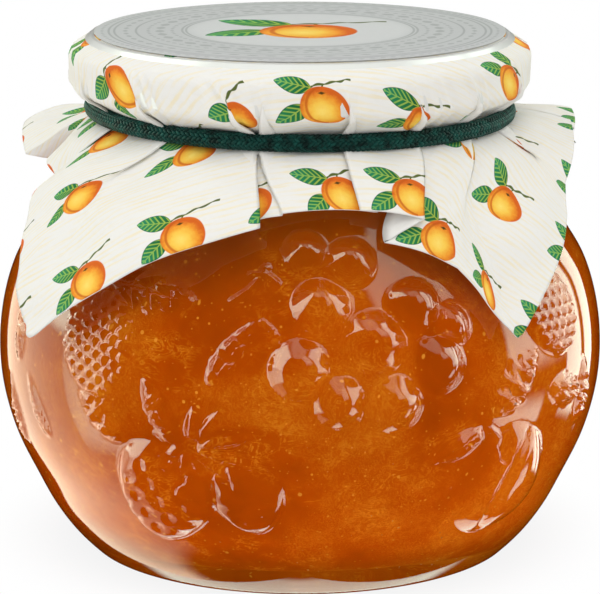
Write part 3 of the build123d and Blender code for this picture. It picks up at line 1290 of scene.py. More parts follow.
@dataclass
class JamFill:
    """The jam, which reaches just into the glass wall, with pale beads under it for pulp and painted
    bubble highlights.

    Attributes:
        overlap: How far the jam reaches into the glass, in millimetres.
        fill_height: Height of its level, in millimetres.
        columns: How many columns its mesh has.
        bead_density: The most beads for each square metre.
        bead_sizes: Diameters of the smallest and the largest bead, in millimetres.
        seed: The seed of the beads' places and sizes.
    """

    overlap: float = 0.25
    fill_height: float = 75.5
    columns: int = 160
    bead_density: float = 52000.0
    bead_sizes: tuple[float, float] = (0.12, 0.42)
    seed: int = 7

    def build(self, jar: GlassJar) -> Piece:
        """Makes the jam's mesh.

        Args:
            jar: The jar that holds the jam.

        Returns:
            The new piece.
        """
        shell = Shell()
        turns = np.arange(self.columns) * 360.0 / self.columns
        radii, heights = jar.inner_outline().sample(1.5)
        keep = heights <= self.fill_height - 0.6
        keep[: len(keep) // 3] = True
        radii, heights = radii[keep][1:], heights[keep][1:]
        slope = np.gradient(np.stack([radii, heights], axis=-1), axis=0)
        slope /= np.linalg.norm(slope, axis=1, keepdims=True)
        radii = radii + slope[:, 1] * self.overlap
        heights = heights - slope[:, 0] * self.overlap
        wall = shell.add(on_axis(radii[:, None], turns[None, :], heights[:, None]))
        shell.bands(wall)
        edge, top = radii[-1], self.fill_height
        rim = [(edge - 0.9, top + 0.4), (edge - 2.4, top + 0.1), (edge - 6.0, top)]
        level = shell.rings([*rim, (20.0, top), (8.0, top)], turns)
        shell.bands(np.concatenate([wall[-1:], level]))
        shell.pole(level[-1], top, upward=True)
        shell.pole(wall[0], jar.floor_height - self.overlap, upward=False)
        return shell.finish("jam_body")

    def bead_tree(self, material: Material) -> bpy.types.NodeTree:
        """Makes the node tree that scatters beads over the jam's outside.

        Args:
            material: The beads' material.

        Returns:
            The tree, with inputs for density, sizes and seed.
        """
        w, given = start_tree("bead_scatter", ("Density", "Smallest", "Largest"), ("Seed",))
        clumps = w.noise(w.node("GeometryNodeInputPosition").outputs[0], 60.0, 2.0)
        density = w.times(w.ease(clumps, 0.4, 0.68), given["Density"])
        inputs = {"Mesh": given["Geometry"], "Density": density, "Seed": given["Seed"]}
        scatter = w.node("GeometryNodeDistributePointsOnFaces", inputs)
        bead = w.node("GeometryNodeMeshIcoSphere", {"Radius": 1.0, "Subdivisions": 2})
        inputs = {2: 0.0, 3: 1.0, "Seed": given["Seed"]}
        dice = w.node("FunctionNodeRandomValue", inputs, data_type="FLOAT")
        cubed = w.math("POWER", dice.outputs[1], 3.0)
        spread = w.minus(given["Largest"], given["Smallest"])
        size = w.plus(w.times(cubed, spread), given["Smallest"])
        sizes = w.vector(size, size, size)
        inputs = {"Points": scatter.outputs[0], "Instance": bead.outputs[0], "Scale": sizes}
        end_tree(w, inputs, material)
        return w.tree

    def beads(self, body: Piece) -> Piece:
        """Scatters beads over the jam.

        Args:
            body: The jam's piece.

        Returns:
            The beads, as one mesh.
        """
        values = {
            "Density": self.bead_density,
            "Smallest": self.bead_sizes[0] * MM / 2,
            "Largest": self.bead_sizes[1] * MM / 2,
            "Seed": self.seed,
        }
        return apply_tree(body.data, self.bead_tree(JamPulpBeadAndGlint().build()), values, "jam_beads")

    def dress(self, body: Piece, beads: Piece) -> None:
        """Gives the jam its colours and ties both pieces to the jar.

        Args:
            body: The jam's piece.
            beads: The beads' piece.
        """
        body.data.materials.append(ApricotJam().build())
        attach(body, BODY)
        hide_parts("jam")
        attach(beads, BODY)


def start_tree(name: str, numbers: Sequence[str], counts: Sequence[str]) -> tuple[Wiring, Any]:
    """Makes a geometry node tree with its inputs and its output.

    Args:
        name: The tree's name.
        numbers: Names of its inputs for numbers.
        counts: Names of its inputs for whole numbers.

    Returns:
        The tree's wiring and the sockets that bring its inputs.
    """
    tree = bpy.data.node_groups.new(name, "GeometryNodeTree")
    kinds = {"Geometry": "Geometry", **dict.fromkeys(numbers, "Float")}
    kinds.update(dict.fromkeys(counts, "Int"))
    for label, kind in kinds.items():
        tree.interface.new_socket(label, in_out="INPUT", socket_type="NodeSocket" + kind)
    tree.interface.new_socket("Geometry", in_out="OUTPUT", socket_type="NodeSocketGeometry")
    w = Wiring(tree)
    return w, w.node("NodeGroupInput").outputs


def end_tree(w: Wiring, inputs: dict[str, Any], material: Material) -> None:
    """Puts an instance on every point and sends them all out as one smooth mesh.

    Args:
        w: The tree's wiring.
        inputs: The points, the instance, and its size and rotation.
        material: The material of the mesh.
    """
    last = w.node("GeometryNodeInstanceOnPoints", inputs)
    for step in ("GeometryNodeRealizeInstances", "GeometryNodeSetShadeSmooth"):
        last = w.node(step, {0: last.outputs[0]})
    last = w.node("GeometryNodeSetMaterial", {0: last.outputs[0], "Material": material})
    w.node("NodeGroupOutput", {0: last.outputs[0]})


def apply_tree(
    source: bpy.types.Mesh, tree: bpy.types.NodeTree, values: dict[str, Any], name: str
) -> Piece:
    """Runs a geometry node tree on a mesh and keeps the result as a plain mesh.

    Args:
        source: The mesh that the tree starts from, which stays as it is.
        tree: The node tree.
        values: The tree's inputs, by name.
        name: The piece's name.

    Returns:
        The new piece.
    """
    holder = bpy.data.objects.new("source", source)
    bpy.context.scene.collection.objects.link(holder)
    modifier = holder.modifiers.new("tree", "NODES")
    modifier.node_group = tree
    for item in tree.interface.items_tree:
        if item.item_type == "SOCKET" and item.in_out == "INPUT" and item.name in values:
            modifier[item.identifier] = values[item.name]
    bpy.context.view_layer.update()
    evaluated = holder.evaluated_get(bpy.context.evaluated_depsgraph_get())
    mesh = bpy.data.meshes.new_from_object(evaluated)
    mesh.name = name
    bpy.data.objects.remove(holder)
    piece = bpy.data.objects.new(name, mesh)
    bpy.context.scene.collection.objects.link(piece)
    return piece


# ---- Paper cover ----


class Over(Enum):
    """Which side of a tuck lies on top."""

    LEFT = -1
    RIGHT = 1


@dataclass(frozen=True)
class Tuck:
    """One tuck of the cover, at the cord and at the hem. Angles are in degrees.

    Attributes:
        sheet: Where the tuck's middle is on the flat sheet, at the cord.
        turn: Its turn round the jar, at the cord.
        lap: How far its two creases overlap, at the cord.
        hem_sheet: Where its middle is on the flat sheet, at the hem.
        hem_turn: Its turn round the jar, at the hem.
        hem_lap: How far its creases overlap at the hem. Below zero, the tuck has opened.
        hem_hidden: How much of the sheet lies between its creases at the hem.
        over: The side that lies on top.
        outer: How far the top crease stands off at the hem, in millimetres.
        inner: How far the lower crease stands off at the hem, in millimetres.
    """

    sheet: float
    turn: float
    lap: float
    hem_sheet: float
    hem_turn: float
    hem_lap: float
    hem_hidden: float
    over: Over = Over.LEFT
    outer: float = 1.5
    inner: float = 0.0


@dataclass(frozen=True)
class Fixed:
    """A line of the sheet between tucks that is kept at a turn, such as a corner.

    Attributes:
        sheet: Where it is on the flat sheet, at the cord.
        turn: Its turn round the jar, at the cord.
        hem_sheet: Where it is on the flat sheet, at the hem.
        hem_turn: Its turn round the jar, at the hem.
        stand: How far it stands off at the hem, in millimetres.
    """

    sheet: float
    turn: float
    hem_sheet: float
    hem_turn: float
    stand: float = 0.0


@dataclass
class Crease:
    """A line of the sheet from the middle to the hem.

    Attributes:
        sheet: Where it is on the flat sheet, at the cord.
        turn: Its turn round the jar, at the cord.
        hem_sheet: Where it is on the flat sheet, at the hem.
        hem_turn: Its turn round the jar, at the hem.
        lift: How far it stands off at the cord, in millimetres.
        hem_lift: How far it stands off at the hem, in millimetres.
        hidden_after: Whether the sheet between it and the next line lies inside a tuck.
    """

    sheet: float
    turn: float
    hem_sheet: float
    hem_turn: float
    lift: float
    hem_lift: float
    hidden_after: bool = False

    def values(self) -> Array:
        """The crease's numbers, in the order of its fields."""
        angles = [self.sheet, self.turn, self.hem_sheet, self.hem_turn]
        return np.array([*angles, self.lift, self.hem_lift])


@dataclass(frozen=True)
class Fall:
    """How steeply the skirt falls at one side of the sheet.

    Attributes:
        centre: The angle on the sheet where it holds in full.
        width: How fast it fades on both sides of that, in degrees.
        drops: Distances along the sheet from the cord.
        angles: The fall at those distances, in degrees below level.
    """

    centre: float
    width: float
    drops: tuple[float, ...]
    angles: tuple[float, ...]


@dataclass(frozen=True)
class Columns:
    """The sheet's columns. The fields from sheet to hem_lift are those of Crease.

    Attributes:
        place: The column's place along the list of lines.
        share: How far it is from the line before it to the line after it.
        hidden: Whether it lies inside a tuck.
        width: The angle between its two lines at the cord, or 0 inside a tuck.
        hem_width: The same at the hem.
    """

    place: Array
    share: Array
    hidden: Array
    sheet: Array
    turn: Array
    hem_sheet: Array
    hem_turn: Array
    lift: Array
    hem_lift: Array
    width: Array
    hem_width: Array

    def puff(self) -> Array:
        """A weight that is 1 midway between two folds and 0 at them and inside tucks."""
        return np.where(self.hidden, 0.0, np.sin(np.pi * self.share))


def bell(angle: Array, centre: float, width: float) -> Array:
    """A weight that is 1 at an angle and fades on both sides of it."""
    away = (angle - centre + 180.0) % 360.0 - 180.0
    return np.exp(-((away / width) ** 2))


@dataclass
class PaperCover:
    """The square paper over the lid, gathered by the cord, with its hem hanging in folds.

    Angles on the sheet and turns are in degrees. Distances along the sheet start at its middle.

    Attributes:
        side: Side of the square sheet.
        turn: How far the sheet is turned on the jar.
        turn_on_lid: How far the folds lean from the lid's edge to the cord.
        paper: Thickness of the paper.
        corner_sharpness: How square the sheet's corners are.
        edge: Distance along the sheet to the lid's upper edge.
        side_top: Distance to the top of the lid's side.
        side_low: Distance to the foot of the lid's side.
        tucked: Distance to where the paper is drawn in over the cord.
        cord: Distance to the cord.
        profile: The tight paper's (distance, radius, height), from its middle to the cord.
        skirt_rows: How many rows of faces hang from the cord.
        layer: How far the top layer of a tuck stands off, at the cord.
        under_layer: How far the lower layer stands off, at the cord.
        cord_share: Width of the sheet inside a tuck, as a share of its lap.
        back_corners: Angles of the sheet's corners that no fold names.
        right_corner: Centre and width of the part over the front's right corner that is
            drawn in, in the direction of its fall.
        drawn_in: How much it is drawn in, as a share.
        folds: The tucks and fixed lines, once round the jar.
        usual_fall: How the skirt falls where nothing else is said.
        falls: How it falls at some sides of the sheet, each laid over those before it.
    """

    side: float = 140.0
    turn: float = -7.0
    turn_on_lid: float = 10.0
    paper: float = 0.2
    corner_sharpness: float = 70.0
    edge: float = 37.1
    side_top: float = 42.6
    side_low: float = 49.0
    tucked: float = 55.3
    cord: float = 56.7
    profile: tuple[tuple[float, float, float], ...] = (
        (0.0, 0.0, 93.37),
        (36.2, 36.2, 93.36),
        (37.9, 37.75, 92.85),
        (41.9, 41.15, 90.75),
        (43.5, 41.62, 89.45),
        (48.4, 41.62, 84.35),
        (49.7, 41.1, 83.4),
        (54.8, 36.5, 80.65),
        (55.8, 36.05, 79.9),
        (56.7, 36.05, 78.9),
    )
    skirt_rows: int = 51
    layer: float = 0.45
    under_layer: float = -0.1
    cord_share: float = 0.6545
    back_corners: tuple[float, ...] = (128.0, 218.0)
    right_corner: tuple[float, float] = (38.0, 6.0)
    drawn_in: float = 0.07
    folds: tuple[Tuck | Fixed, ...] = (
        Tuck(-79.0, -64.5, 5.0, -88.0, -79.5, 2.8, 8.0, Over.LEFT, 0.8),
        Tuck(-55.5, -39.9, 6.2, -55.5, -54.4, -6.2, 4.0, Over.LEFT, 0.7, -0.2),
        Fixed(-52.0, -37.6, -52.0, -49.0, 0.0),
        Tuck(-30.6, -14.0, 6.0, -24.2, -10.0, 4.5, 3.5, Over.LEFT, 1.5, -1.2),
        Tuck(-19.2, -8.3, 5.0, -16.0, -3.2, -0.8, 0.5, Over.RIGHT, 0.6),
        Tuck(0.1, 13.0, 4.0, -0.1, 14.75, 4.5, 3.2, Over.RIGHT, 1.8, -0.5),
        Tuck(16.8, 31.5, 3.0, 12.5, 21.5, 8.0, 5.0, Over.LEFT, 2.2, -0.3),
        Fixed(24.0, 39.5, 24.0, 31.0, 1.5),
        Tuck(33.9, 49.5, 5.0, 33.9, 37.4, -2.1, 3.3, Over.LEFT, 0.7, -0.2),
        Fixed(38.0, 52.6, 38.0, 40.0, -0.5),
        Tuck(56.4, 71.0, 8.0, 60.0, 65.0, -5.0, 8.0, Over.LEFT, 0.8, 0.2),
        Tuck(84.0, 97.0, 8.0, 87.5, 90.0, 4.0, 7.0),
        Tuck(110.1, 121.0, 8.0, 109.5, 117.0, 4.0, 7.0),
        Tuck(135.0, 146.0, 6.0, 137.35, 150.0, 4.0, 6.7, Over.RIGHT),
        Tuck(159.3, 170.0, 6.0, 163.35, 167.5, 4.0, 6.7),
        Tuck(183.4, 195.0, 6.0, 189.35, 188.2, 4.0, 6.7, Over.RIGHT),
        Tuck(207.7, 220.0, 6.0, 206.0, 209.0, 0.0, 0.4, Over.LEFT, 0.6),
        Tuck(231.9, 245.0, 6.0, 232.7, 237.5, 4.0, 9.4),
        Tuck(256.0, 270.0, 6.0, 252.7, 250.4, 4.0, 9.4, Over.RIGHT),
    )
    usual_fall: tuple[tuple[float, ...], tuple[float, ...]] = (
        (0.0, 6.0, 20.0, 40.0),
        (36.0, 47.0, 54.0, 56.0),
    )
    falls: tuple[Fall, ...] = (
        Fall(29.0, 15.0, (0.0, 6.0, 12.0, 40.0), (36.0, 48.0, 61.0, 61.0)),
        Fall(91.0, 27.0, (0.0, 6.0, 14.0, 40.0), (18.0, 11.0, 10.0, 26.0)),
        Fall(214.0, 18.0, (0.0, 14.0, 34.0, 42.0), (25.0, 19.0, 5.0, 2.0)),
        Fall(263.0, 15.0, (0.0, 4.0, 8.0, 40.0), (36.0, 50.0, 62.0, 62.0)),
        Fall(128.0, 17.0, (0.0, 10.0, 24.0, 31.0, 42.0), (24.0, 20.0, 20.0, 40.0, 62.0)),
    )

    def creases(self) -> list[Crease]:
        """Lists the creases and fixed lines in order, once round the jar and back to the first.

        Returns:
            The lines.
        """
        lines: list[Crease] = []
        for fold in self.folds:
            if isinstance(fold, Fixed):
                angles = (fold.sheet, fold.turn, fold.hem_sheet, fold.hem_turn)
                lines.append(Crease(*angles, 0.0, fold.stand))
                continue
            hidden = fold.lap * self.cord_share
            for sign in (-1, 1):
                on_top = (fold.over is Over.LEFT) == (sign < 0)
                lines.append(
                    Crease(
                        fold.sheet + sign * hidden / 2,
                        fold.turn - sign * fold.lap / 2,
                        fold.hem_sheet + sign * fold.hem_hidden / 2,
                        fold.hem_turn - sign * fold.hem_lap / 2,
                        self.layer if on_top else self.under_layer,
                        fold.outer if on_top else fold.inner,
                        hidden_after=sign < 0,
                    )
                )
        once_round = np.array([360.0, 360.0, 360.0, 360.0, 0.0, 0.0])
        first = lines[0]
        lines.append(Crease(*(first.values() + once_round).tolist(), hidden_after=first.hidden_after))
        return self.with_corners(lines)

    def with_corners(self, lines: list[Crease]) -> list[Crease]:
        """Adds a line through each corner of the sheet that has none yet.

        Args:
            lines: The lines so far.

        Returns:
            The lines with the corners' own between them.
        """
        for corner in self.back_corners:
            for k, (here, after) in enumerate(zip(lines, lines[1:])):
                if here.hem_sheet < corner < after.hem_sheet:
                    t = (corner - here.hem_sheet) / (after.hem_sheet - here.hem_sheet)
                    between = here.values() + (after.values() - here.values()) * t
                    lines.insert(k + 1, Crease(*between.tolist(), hidden_after=here.hidden_after))
                    break
        return lines

    @staticmethod
    def columns(lines: list[Crease]) -> Columns:
        """Spreads columns between the lines, at least four or five between each two.

        Args:
            lines: The creases and fixed lines.

        Returns:
            The columns.
        """
        stops: list[tuple[int, float]] = []
        for k, (here, after) in enumerate(zip(lines, lines[1:])):
            wide = max(abs(after.hem_turn - here.hem_turn), abs(after.turn - here.turn))
            narrow = here.hidden_after and wide < 12
            count = 4 if narrow else max(5, int(round(wide)) + 2)
            stops.extend((k, j / count) for j in range(count))
        segment = np.array([k for k, _ in stops])
        share = np.array([t for _, t in stops])
        table = np.stack([line.values() for line in lines])
        here, after = table[segment], table[segment + 1]
        hidden = np.array([lines[k].hidden_after for k in segment])
        width, hem_width = (np.where(hidden, 0.0, np.abs(after[:, k] - here[:, k])) for k in (1, 3))
        values = (here + (after - here) * share[:, None]).T
        return Columns(segment + share, share, hidden, *values, width, hem_width)

    def distances(self, hem_sheet: Array) -> Array:
        """Spreads rows over the sheet, from its middle to its slightly rounded hem.

        Args:
            hem_sheet: Angle on the sheet of each column, at the hem.

        Returns:
            The distance along the sheet of every vertex.
        """
        angle = np.radians(hem_sheet - self.turn)
        n = self.corner_sharpness
        hem = self.side / 2 / (np.abs(np.cos(angle)) ** n + np.abs(np.sin(angle)) ** n) ** (1 / n)
        tight = np.concatenate(
            [
                [0.0, 6.0, 12.0, 18.0, 24.0, 30.0, 34.0, 36.2],
                np.linspace(self.edge, self.side_top, 8),
                np.linspace(self.side_top, self.side_low, 10)[1:],
                np.linspace(self.side_low, self.cord, 10)[1:],
            ]
        )
        hanging = (np.arange(self.skirt_rows) + 1) / self.skirt_rows
        skirt = self.cord + (hem - self.cord) * hanging[:, None]
        return np.concatenate([np.repeat(tight[:, None], len(hem), axis=1), skirt])

    def descent(self, drop: Array, sheet: Array) -> Array:
        """How steeply the skirt falls, in degrees below level.

        Args:
            drop: Distance along the sheet from the cord.
            sheet: The angle on the flat sheet.

        Returns:
            The angle of fall at each place.
        """
        angle = np.interp(drop, *self.usual_fall)
        for fall in self.falls:
            own = np.interp(drop, fall.drops, fall.angles)
            angle = angle + (own - angle) * bell(sheet, fall.centre, fall.width)
        return angle

    def smooth_shape(self, reach: Array, hem_sheet: Array) -> tuple[Array, Array]:
        """Lays the sheet over the lid and hangs its skirt, without folds.

        Args:
            reach: Distance along the sheet of every vertex.
            hem_sheet: Angle on the sheet of each column, at the hem.

        Returns:
            The radius and the height of every vertex.
        """
        knots, knot_r, knot_z = np.array(self.profile).T
        radius, height = np.interp(reach, knots, knot_r), np.interp(reach, knots, knot_z)
        drop = np.maximum(reach - self.cord, 0.0)
        gain, loss = np.zeros_like(drop), np.zeros_like(drop)
        pull = 1 - self.drawn_in * bell(hem_sheet, *self.right_corner)
        for row in range(len(reach) - self.skirt_rows, len(reach)):
            fall = np.radians(self.descent((drop[row] + drop[row - 1]) / 2, hem_sheet))
            stride = (drop[row] - drop[row - 1]) * pull
            gain[row] = gain[row - 1] + stride * np.cos(fall)
            loss[row] = loss[row - 1] + stride * np.sin(fall)
        return radius + gain, height - loss

    @staticmethod
    def middles(lines: list[Crease], place: Array) -> tuple[Array, Array]:
        """The turn of the nearest fold's middle, at the cord and at the lid's edge.

        Args:
            lines: The creases and fixed lines.
            place: Each column's place along the lines.

        Returns:
            Both turns of each column, blended between neighbouring folds.
        """
        knots = []
        for k, (here, after) in enumerate(zip(lines, lines[1:])):
            if here.hidden_after:
                turns = ((here.turn + after.turn) / 2, (here.sheet + after.sheet) / 2)
                knots += [(k, *turns), (k + 1, *turns)]
        once_round = np.array([len(lines) - 1, 360.0, 360.0])
        table = np.array(knots)
        table = np.concatenate([table[-2:] - once_round, table, table[:2] + once_round])
        places, at_cord, at_top = table.T
        return np.interp(place, places, at_cord), np.interp(place, places, at_top)

    def turns(
        self, reach: Array, open_up: Array, lines: list[Crease], cols: Columns
    ) -> Array:
        """Works out the turn round the jar of every vertex.

        Args:
            reach: Distance along the sheet of every vertex.
            open_up: How far the folds have opened, from 0 at the cord to 1 well below it.
            lines: The creases and fixed lines.
            cols: The columns.

        Returns:
            The turns.
        """
        middle_cord, middle_sheet = self.middles(lines, cols.place)
        middle_top = middle_sheet + self.turn_on_lid
        down = (reach - self.side_top + 0.4) / (self.tucked - self.side_top + 0.4)
        lean = 1 - (1 - np.clip(down, 0, 1)) ** 2
        folded = middle_top + (middle_cord - middle_top) * lean
        loose = cols.sheet - middle_sheet
        tight = cols.turn - middle_cord
        over_lid = folded + loose + (tight - loose) * self.gather(reach)
        skirt = cols.turn + (cols.hem_turn - cols.turn) * open_up
        return np.where(reach > self.cord, skirt, over_lid)

    def gather(self, reach: Array) -> Array:
        """How far the sheet is drawn together, from 0 on the lid to 1 at the cord."""
        places = [self.edge, self.side_top, self.side_low, self.tucked, self.cord]
        return np.interp(reach, places, [0.0, 0.14, 0.55, 1.0, 1.0])

    def lifts(
        self, reach: Array, open_up: Array, turn: Array, cols: Columns
    ) -> Array:
        """Works out how far every vertex stands off the smooth shape.

        Args:
            reach: Distance along the sheet of every vertex.
            open_up: How far the folds have opened, from 0 at the cord to 1 well below it.
            turn: The turn of every vertex, in degrees.
            cols: The columns.

        Returns:
            The distances, in millimetres.
        """
        lift = cols.lift * self.gather(reach) * (1 - open_up) + cols.hem_lift * open_up
        sag = -0.5 * np.minimum(cols.width / 20.0, 1.2) * cols.puff()
        drum = [self.side_top, self.side_low, self.tucked, self.cord + 6]
        lift = lift + sag * np.interp(reach, drum, [0.0, 0.6, 1.0, 0.0])
        from_fold = np.minimum(cols.share, 1 - cols.share) * cols.width
        beside = np.where(cols.hidden, 0.0, np.exp(-((from_fold / 1.6 - 1.3) ** 2)))
        drum = [self.edge + 1, self.side_top, self.side_low, self.tucked, self.cord + 4]
        lift = lift - 0.5 * beside * np.interp(reach, drum, [0.0, 0.5, 1.0, 0.6, 0.0])
        billow = np.minimum(cols.hem_width / 18.0, 1.6) * cols.puff()
        lift = lift + 0.9 * billow * open_up
        turn = np.radians(turn)
        ripple = np.sin(5.3 * turn + 0.21 * reach) + 0.8 * np.sin(9.1 * turn - 0.33 * reach + 1.3)
        ripple = ripple + 0.6 * np.sin(14.0 * turn + 0.5 * reach + 0.7)
        lift = lift + 0.16 * ripple * smoothstep(reach, 44.0, 52.0) + 0.12 * ripple * open_up
        return lift * smoothstep(reach, 37.0, 45.0)

    def build(self) -> Piece:
        """Makes the cover's mesh, with the flat sheet's places as its UV map.

        Returns:
            The new piece.
        """
        lines = self.creases()
        cols = self.columns(lines)
        reach = self.distances(cols.hem_sheet)
        radius, height = self.smooth_shape(reach, cols.hem_sheet)
        open_up = smoothstep(np.maximum(reach - self.cord, 0.0), 0.0, 18.0)
        turn = self.turns(reach, open_up, lines, cols)
        lift = self.lifts(reach, open_up, turn, cols)
        grow_r, grow_z = np.gradient(radius, axis=0), np.gradient(height, axis=0)
        size = np.maximum(np.hypot(grow_r, grow_z), 1e-9)
        points = on_axis(radius - lift * grow_z / size, turn, height + lift * grow_r / size)

        shell = Shell()
        grid = shell.add(points[1:])
        shell.bands(grid[::-1])
        shell.pole(grid[0], self.profile[0][2], upward=True)
        piece = shell.finish("gathered_cover")
        sheet = cols.sheet * (1 - open_up) + cols.hem_sheet * open_up
        self.unwrap(piece, reach[1:], sheet[1:])
        return piece

    def unwrap(self, piece: Piece, reach: Array, sheet: Array) -> None:
        """Writes each corner's place on the flat sheet into the UV map.

        Args:
            piece: The cover's object.
            reach: Distance from the sheet's middle of every vertex.
            sheet: Angle on the sheet of every vertex.
        """
        angle = np.radians(sheet - self.turn)
        u = reach * np.sin(angle) / self.side + 0.5
        v = -reach * np.cos(angle) / self.side + 0.5
        flat = np.concatenate([np.stack([u, v], axis=-1).reshape(-1, 2), [[0.5, 0.5]]])
        layer = piece.data.uv_layers.new(name="sheet")
        corner = np.empty(len(piece.data.loops), dtype=np.int64)
        piece.data.loops.foreach_get("vertex_index", corner)
        layer.data.foreach_set("uv", flat[corner].astype(np.float32).reshape(-1))

    def dress(self, piece: Piece) -> None:
        """Gives the paper its thickness, its print and its plain back.

        Args:
            piece: The cover's piece.
        """
        piece.data.materials.append(CoverPaper().build())
        piece.data.materials.append(CoverPaper(printed=False).build())
        wall = piece.modifiers.new("paper", "SOLIDIFY")
        wall.thickness = self.paper * MM
        wall.offset = -1.0
        wall.material_offset = 1
        wall.material_offset_rim = 1
        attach(piece, BODY)
        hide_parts("paper_cover")


# ---- Cord ----


@dataclass
class ElasticCord:
    """The round elastic cord, braided from fine yarn."""

    ring_radius: float = 37.45
    thickness: float = 2.8
    height: float = 79.6
    tilt: float = 0.7
    strands: int = 12
    stitches: int = 260
    lay: float = 32.0

    def braid_tree(self, material: Material) -> bpy.types.NodeTree:
        """Makes the node tree that lays stitches round a ring in chevrons.

        Args:
            material: The yarn's material.

        Returns:
            The tree, with inputs for the ring's sizes and the counts.
        """
        sizes = ("Ring Radius", "Tube Radius", "Height", "Tilt", "Lay")
        w, given = start_tree("cord_braid", sizes, ("Strands", "Stitches"))
        total = w.times(given["Strands"], given["Stitches"])
        line = w.node("GeometryNodeMeshLine", mode="OFFSET")
        w.feed(line.inputs["Count"], total)
        index = w.node("GeometryNodeInputIndex").outputs[0]
        strand = w.math("MODULO", index, given["Strands"])
        stitch = w.math("FLOOR", w.over(w.plus(index, 0.5), given["Strands"]))
        odd = w.math("MODULO", strand, 2.0)
        way = w.minus(1.0, w.times(odd, 2.0))
        round_tube = w.times(w.over(strand, given["Strands"]), 2 * math.pi)
        step = w.plus(stitch, w.times(odd, 0.5))
        turn = w.times(w.over(step, given["Stitches"]), 2 * math.pi)
        st, ct = w.sine(turn), w.cosine(turn)
        sa, ca = w.sine(round_tube), w.cosine(round_tube)
        away = w.plus(given["Ring Radius"], w.times(given["Tube Radius"], ca))
        x, y = w.times(away, st), w.times(w.times(away, ct), -1.0)
        z = w.plus(given["Height"], w.times(given["Tube Radius"], sa))
        z = w.minus(z, w.times(x, given["Tilt"]))
        inputs = {"Geometry": line.outputs[0], "Position": w.vector(x, y, z)}
        moved = w.node("GeometryNodeSetPosition", inputs)
        normal = w.vector(w.times(ca, st), w.times(w.times(ca, ct), -1.0), sa)
        along = w.vector(ct, st, 0.0)
        across = w.vectors("CROSS_PRODUCT", normal, along)
        angle = w.times(given["Lay"], way)
        first, second = w.stretch(along, w.cosine(angle)), w.stretch(across, w.sine(angle))
        inputs = {0: normal, 1: w.vectors("ADD", first, second)}
        axes = w.node("FunctionNodeAxesToRotation", inputs, primary_axis="Z", secondary_axis="X")
        yarn = w.node("GeometryNodeMeshUVSphere", {"Segments": 8, "Rings": 5, "Radius": 1.0})
        length = w.over(w.times(given["Ring Radius"], 2 * math.pi), given["Stitches"])
        size = w.vector(w.times(length, 0.78), w.times(length, 0.36), w.times(length, 0.3))
        inputs = {"Points": moved.outputs[0], "Instance": yarn.outputs[0]}
        end_tree(w, {**inputs, "Rotation": axes.outputs[0], "Scale": size}, material)
        return w.tree

    def build_core(self) -> Piece:
        """Makes the core that shows between the stitches.

        Returns:
            The new piece.
        """
        shell = Shell()
        turns = np.arange(180) * 2.0
        around = np.radians(np.arange(16) * 22.5)
        tube = self.thickness / 2 - 0.12
        radius = self.ring_radius + tube * np.cos(around)
        height = self.height + tube * np.sin(around)
        points = on_axis(radius[:, None], turns[None, :], height[:, None])
        points[..., 2] -= points[..., 0] * math.tan(math.radians(self.tilt))
        rows = shell.add(points)
        shell.bands(np.concatenate([rows, rows[:1]]))
        return shell.finish("cord_core")

    def build_braid(self, material: Material) -> Piece:
        """Makes the braid, as one mesh.

        Args:
            material: The yarn's material.

        Returns:
            The new piece.
        """
        values = {
            "Ring Radius": self.ring_radius * MM,
            "Tube Radius": (self.thickness / 2 - 0.08) * MM,
            "Height": self.height * MM,
            "Tilt": math.tan(math.radians(self.tilt)),
            "Lay": math.radians(self.lay),
            "Strands": self.strands,
            "Stitches": self.stitches,
        }
        empty = bpy.data.meshes.new("empty")
        return apply_tree(empty, self.braid_tree(material), values, "cord_braid")

    def build(self) -> tuple[Piece, Piece]:
        """Makes and dresses the core and the braid.

        Returns:
            Both pieces.
        """
        yarn = BraidYarn().build()
        core, braid = self.build_core(), self.build_braid(yarn)
        core.data.materials.append(yarn)
        for piece in (core, braid):
            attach(piece, BODY)
        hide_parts("elastic_cord")
        return core, braid


# ---- Label and lid ----


@dataclass
class TopLabel:
    """The round label on the cover's top. Lengths are in millimetres."""

    radius: float = 36.95
    height: float = 93.38
    thickness: float = 0.12

    def build(self) -> Piece:
        """Makes the disc, with its edge rounded by a hair.

        Returns:
            The new piece, dressed.
        """
        shell = Shell()
        turns = np.arange(180) * 2.0
        top = self.height + self.thickness
        rows = [(30.0, self.height), (self.radius, self.height), (self.radius, top - 0.03)]
        rows += [(self.radius - 0.04, top), (30.0, top), (15.0, top)]
        grid = shell.rings(rows, turns)
        shell.bands(grid)
        shell.pole(grid[-1], top, upward=True)
        shell.pole(grid[0], self.height, upward=False)
        piece = shell.finish("round_label")
        piece.data.materials.append(LabelPaper().build())
        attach(piece, BODY)
        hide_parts("top_label")
        return piece


@dataclass
class MetalLid:
    """The lid under the cover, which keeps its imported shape."""

    node: str = "lid"

    def dress(self, nodes: dict[str, Piece]) -> None:
        """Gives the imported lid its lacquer.

        Args:
            nodes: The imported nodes, by name.
        """
        lid = nodes[self.node]
        lid.data.materials.clear()
        lid.data.materials.append(WhiteLacquer().build())


# ---- Studio ----


@dataclass(frozen=True)
class Softbox:
    """A rectangular lamp that faces the jar. Directions are seen from the jar.

    Attributes:
        name: The lamp's name.
        turn: Its turn from the front, in degrees.
        rise: Its height over the horizon, in degrees.
        away: Its distance, in metres.
        size: Its width and height, in metres.
        glow: How bright it is, in watts for each square metre and steradian.
    """

    name: str
    turn: float
    rise: float
    away: float
    size: tuple[float, float]
    glow: float


